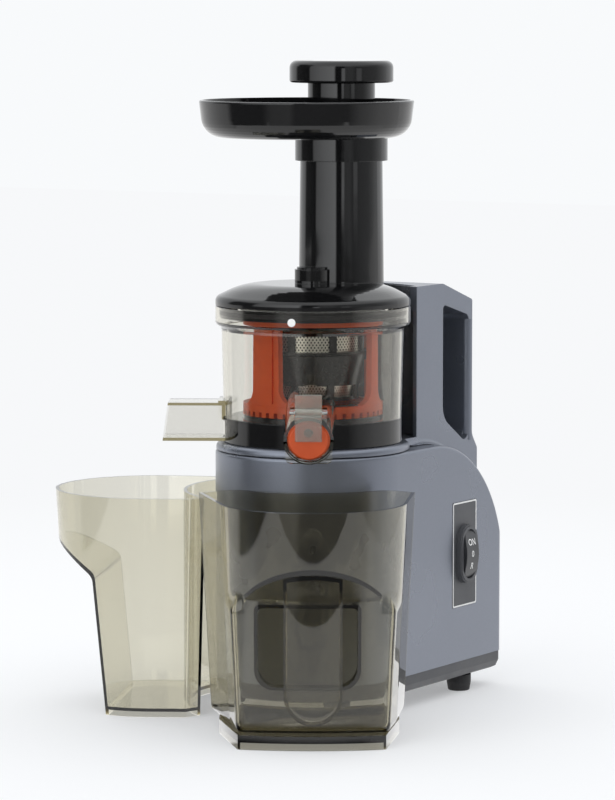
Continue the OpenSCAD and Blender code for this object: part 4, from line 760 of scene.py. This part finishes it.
def ring_of_banks(nodes, towards, right, banks):
    """Brightness by the turn from the lens, in degrees, positive to the lens's right."""
    top = max(level for _, level in banks)
    stops = [((degrees + 180) / 360, level / top) for degrees, level in banks]
    turn = right.maths("ARCTAN2", towards) * (0.5 / math.pi) + 0.5
    return nodes.node("ShaderNodeValToRGB", {"stops": stops}, {"Fac": turn}) * top


def ray_kinds(nodes):
    """Masks of the camera's rays, of mirrored ones, and of those that went through clear plastic."""
    seen = nodes.node("ShaderNodeLightPath", {}, {}, "Is Camera Ray")
    through = seen.beside("Is Transmission Ray")
    return seen, seen.beside("Is Glossy Ray") * (1 - through), through


def studio_floor():
    """A white table top that ends in front and at the sides, and runs into a white sweep at the back.

    Mirrored rays meet its glow, with a painted shadow under the jug's front: a dark band where that glow
    is dimmed. Past its edges they meet the room round it. Rays through clear plastic meet that room too.
    For the lens it fades to plain white away from the juicer."""
    reach = 6.0
    corners = [(-reach, -reach, 0), (reach, -reach, 0), (reach, reach, 0), (-reach, reach, 0)]
    mesh = bpy.data.meshes.new("floor")
    mesh.from_pydata(corners, [], [(0, 1, 2, 3)])
    floor = bpy.data.objects.new("floor", mesh)
    bpy.context.scene.collection.objects.link(floor)
    f = Finish("studio floor", Base_Color=(0.9, 0.905, 0.915), Roughness=0.9)
    seen, mirrored, through = ray_kinds(f)
    towards, right = studio_frame(f, f.place())
    # the table ends 0.7 m in front, 0.72 m to the right and 0.64 m to the left, with soft edges
    table = f.spread(towards, 0.71, 0.7) * f.spread(right, 0.74, 0.72) * f.spread(right, -0.66, -0.64)
    # Painted shadow: the table's mirrored glow is dimmed in a band under the jug's front, as if the jug shaded
    # the table there.
    painted_shadow_strip = f.spread(towards, 0.14, 0.15) * f.spread(towards, 0.215, 0.195)
    painted_shadow_strip = painted_shadow_strip * f.spread(right.maths("ABSOLUTE"), 0.075, 0.06)
    room = [(-180, 1), (-118, 1), (-95, 0.9), (-88, 0.1), (-48, 0.1), (-38, 0.4), (-18, 0.45), (-12, 0.2),
            (45, 0.2), (60, 0.6), (85, 1), (180, 1)]
    table_glow = 1.15
    brightness = table * (table_glow - painted_shadow_strip) + (1 - table) * ring_of_banks(f, towards, right, room)
    glow = f.node("ShaderNodeEmission", {}, {"Strength": brightness})
    white = f.node("ShaderNodeEmission", {}, {"Color": (0.93, 0.94, 0.955)})
    far = f.node("ShaderNodeVectorMath", {"operation": "LENGTH"}, {0: f.place()}, "Value")
    fade = f.spread(far, 0.15, 1.2, 0.35, 1) * seen.most(through)
    lit = Wire(f, f.shader.outputs[0])
    base = f.node("ShaderNodeMixShader", {}, {0: fade, 1: lit, 2: white})
    glowing = mirrored.most(through * (1 - table))
    f.end("Surface", f.node("ShaderNodeMixShader", {}, {0: glowing, 1: base, 2: glow}))
    mesh.materials.append(f.material)


def studio_world():
    """Light banks round the object, by the turn from the lens: the key bank stands on its left."""
    world = bpy.data.worlds.new("studio")
    bpy.context.scene.world = world
    world.use_nodes = True
    f = Nodes(world.node_tree)
    way = f.node("ShaderNodeTexCoord", {}, {}, "Generated")
    towards, right = studio_frame(f, way)
    banks = [(-180, 1), (-122, 1), (-114, 0.12), (-77, 0.06), (-73, 1.2), (-45, 1.9), (-17, 2.4), (-13, 0.04),
             (4, 0.03), (9, 0.5), (22, 0.55), (34, 0.28), (50, 0.42), (80, 0.5), (100, 0.8), (120, 1.1),
             (180, 1.1)]
    windows = [(-180, 0), (-1, 0), (1, 1.8), (7, 1.8), (9, 0), (31, 0), (34, 1.1), (44, 1.1), (47, 0),
               (180, 0)]
    rise = f.node("ShaderNodeSeparateXYZ", {}, {"Vector": way}, "Z")
    window_height = f.spread(rise, -0.034, -0.028) * f.spread(rise, 0.2, 0.1)
    ring = ring_of_banks(f, towards, right, banks)
    ring = ring.most(ring_of_banks(f, towards, right, windows) * window_height)
    overhead, overhead_glow = f.spread(rise, 0.5, 0.72), 1.4
    banked = ring * (1 - overhead) + overhead * overhead_glow
    seen, _, through = ray_kinds(f)
    backdrop, backdrop_white = seen.most(through * f.spread(towards, 0.02, -0.02)), 0.97
    sky = f.tree.nodes["Background"]
    f.put(sky, "Color", (0.97, 0.985, 1))
    f.put(sky, "Strength", banked * (1 - backdrop) + backdrop * backdrop_white)


def studio_camera():
    """A long lens a little higher than the juicer, looking slightly down."""
    azimuth, distance, height = math.radians(LENS_TURN), 2.7569, 0.4864
    turn, pitch, focal_px, frame_px = math.radians(31.478), math.radians(5.713), 4066, 800
    data = bpy.data.cameras.new("camera")
    data.sensor_fit = "VERTICAL"
    data.sensor_height = 24
    data.lens = data.sensor_height * focal_px / frame_px
    data.clip_end = 50
    camera = bpy.data.objects.new("camera", data)
    camera.location = AXIS + Vector((math.sin(azimuth) * distance, -math.cos(azimuth) * distance, height))
    camera.rotation_euler = (math.pi / 2 - pitch, 0, turn)
    bpy.context.scene.collection.objects.link(camera)
    bpy.context.scene.camera = camera


studio_floor()
studio_world()
studio_camera()
bpy.context.scene.view_settings.view_transform = "Standard"
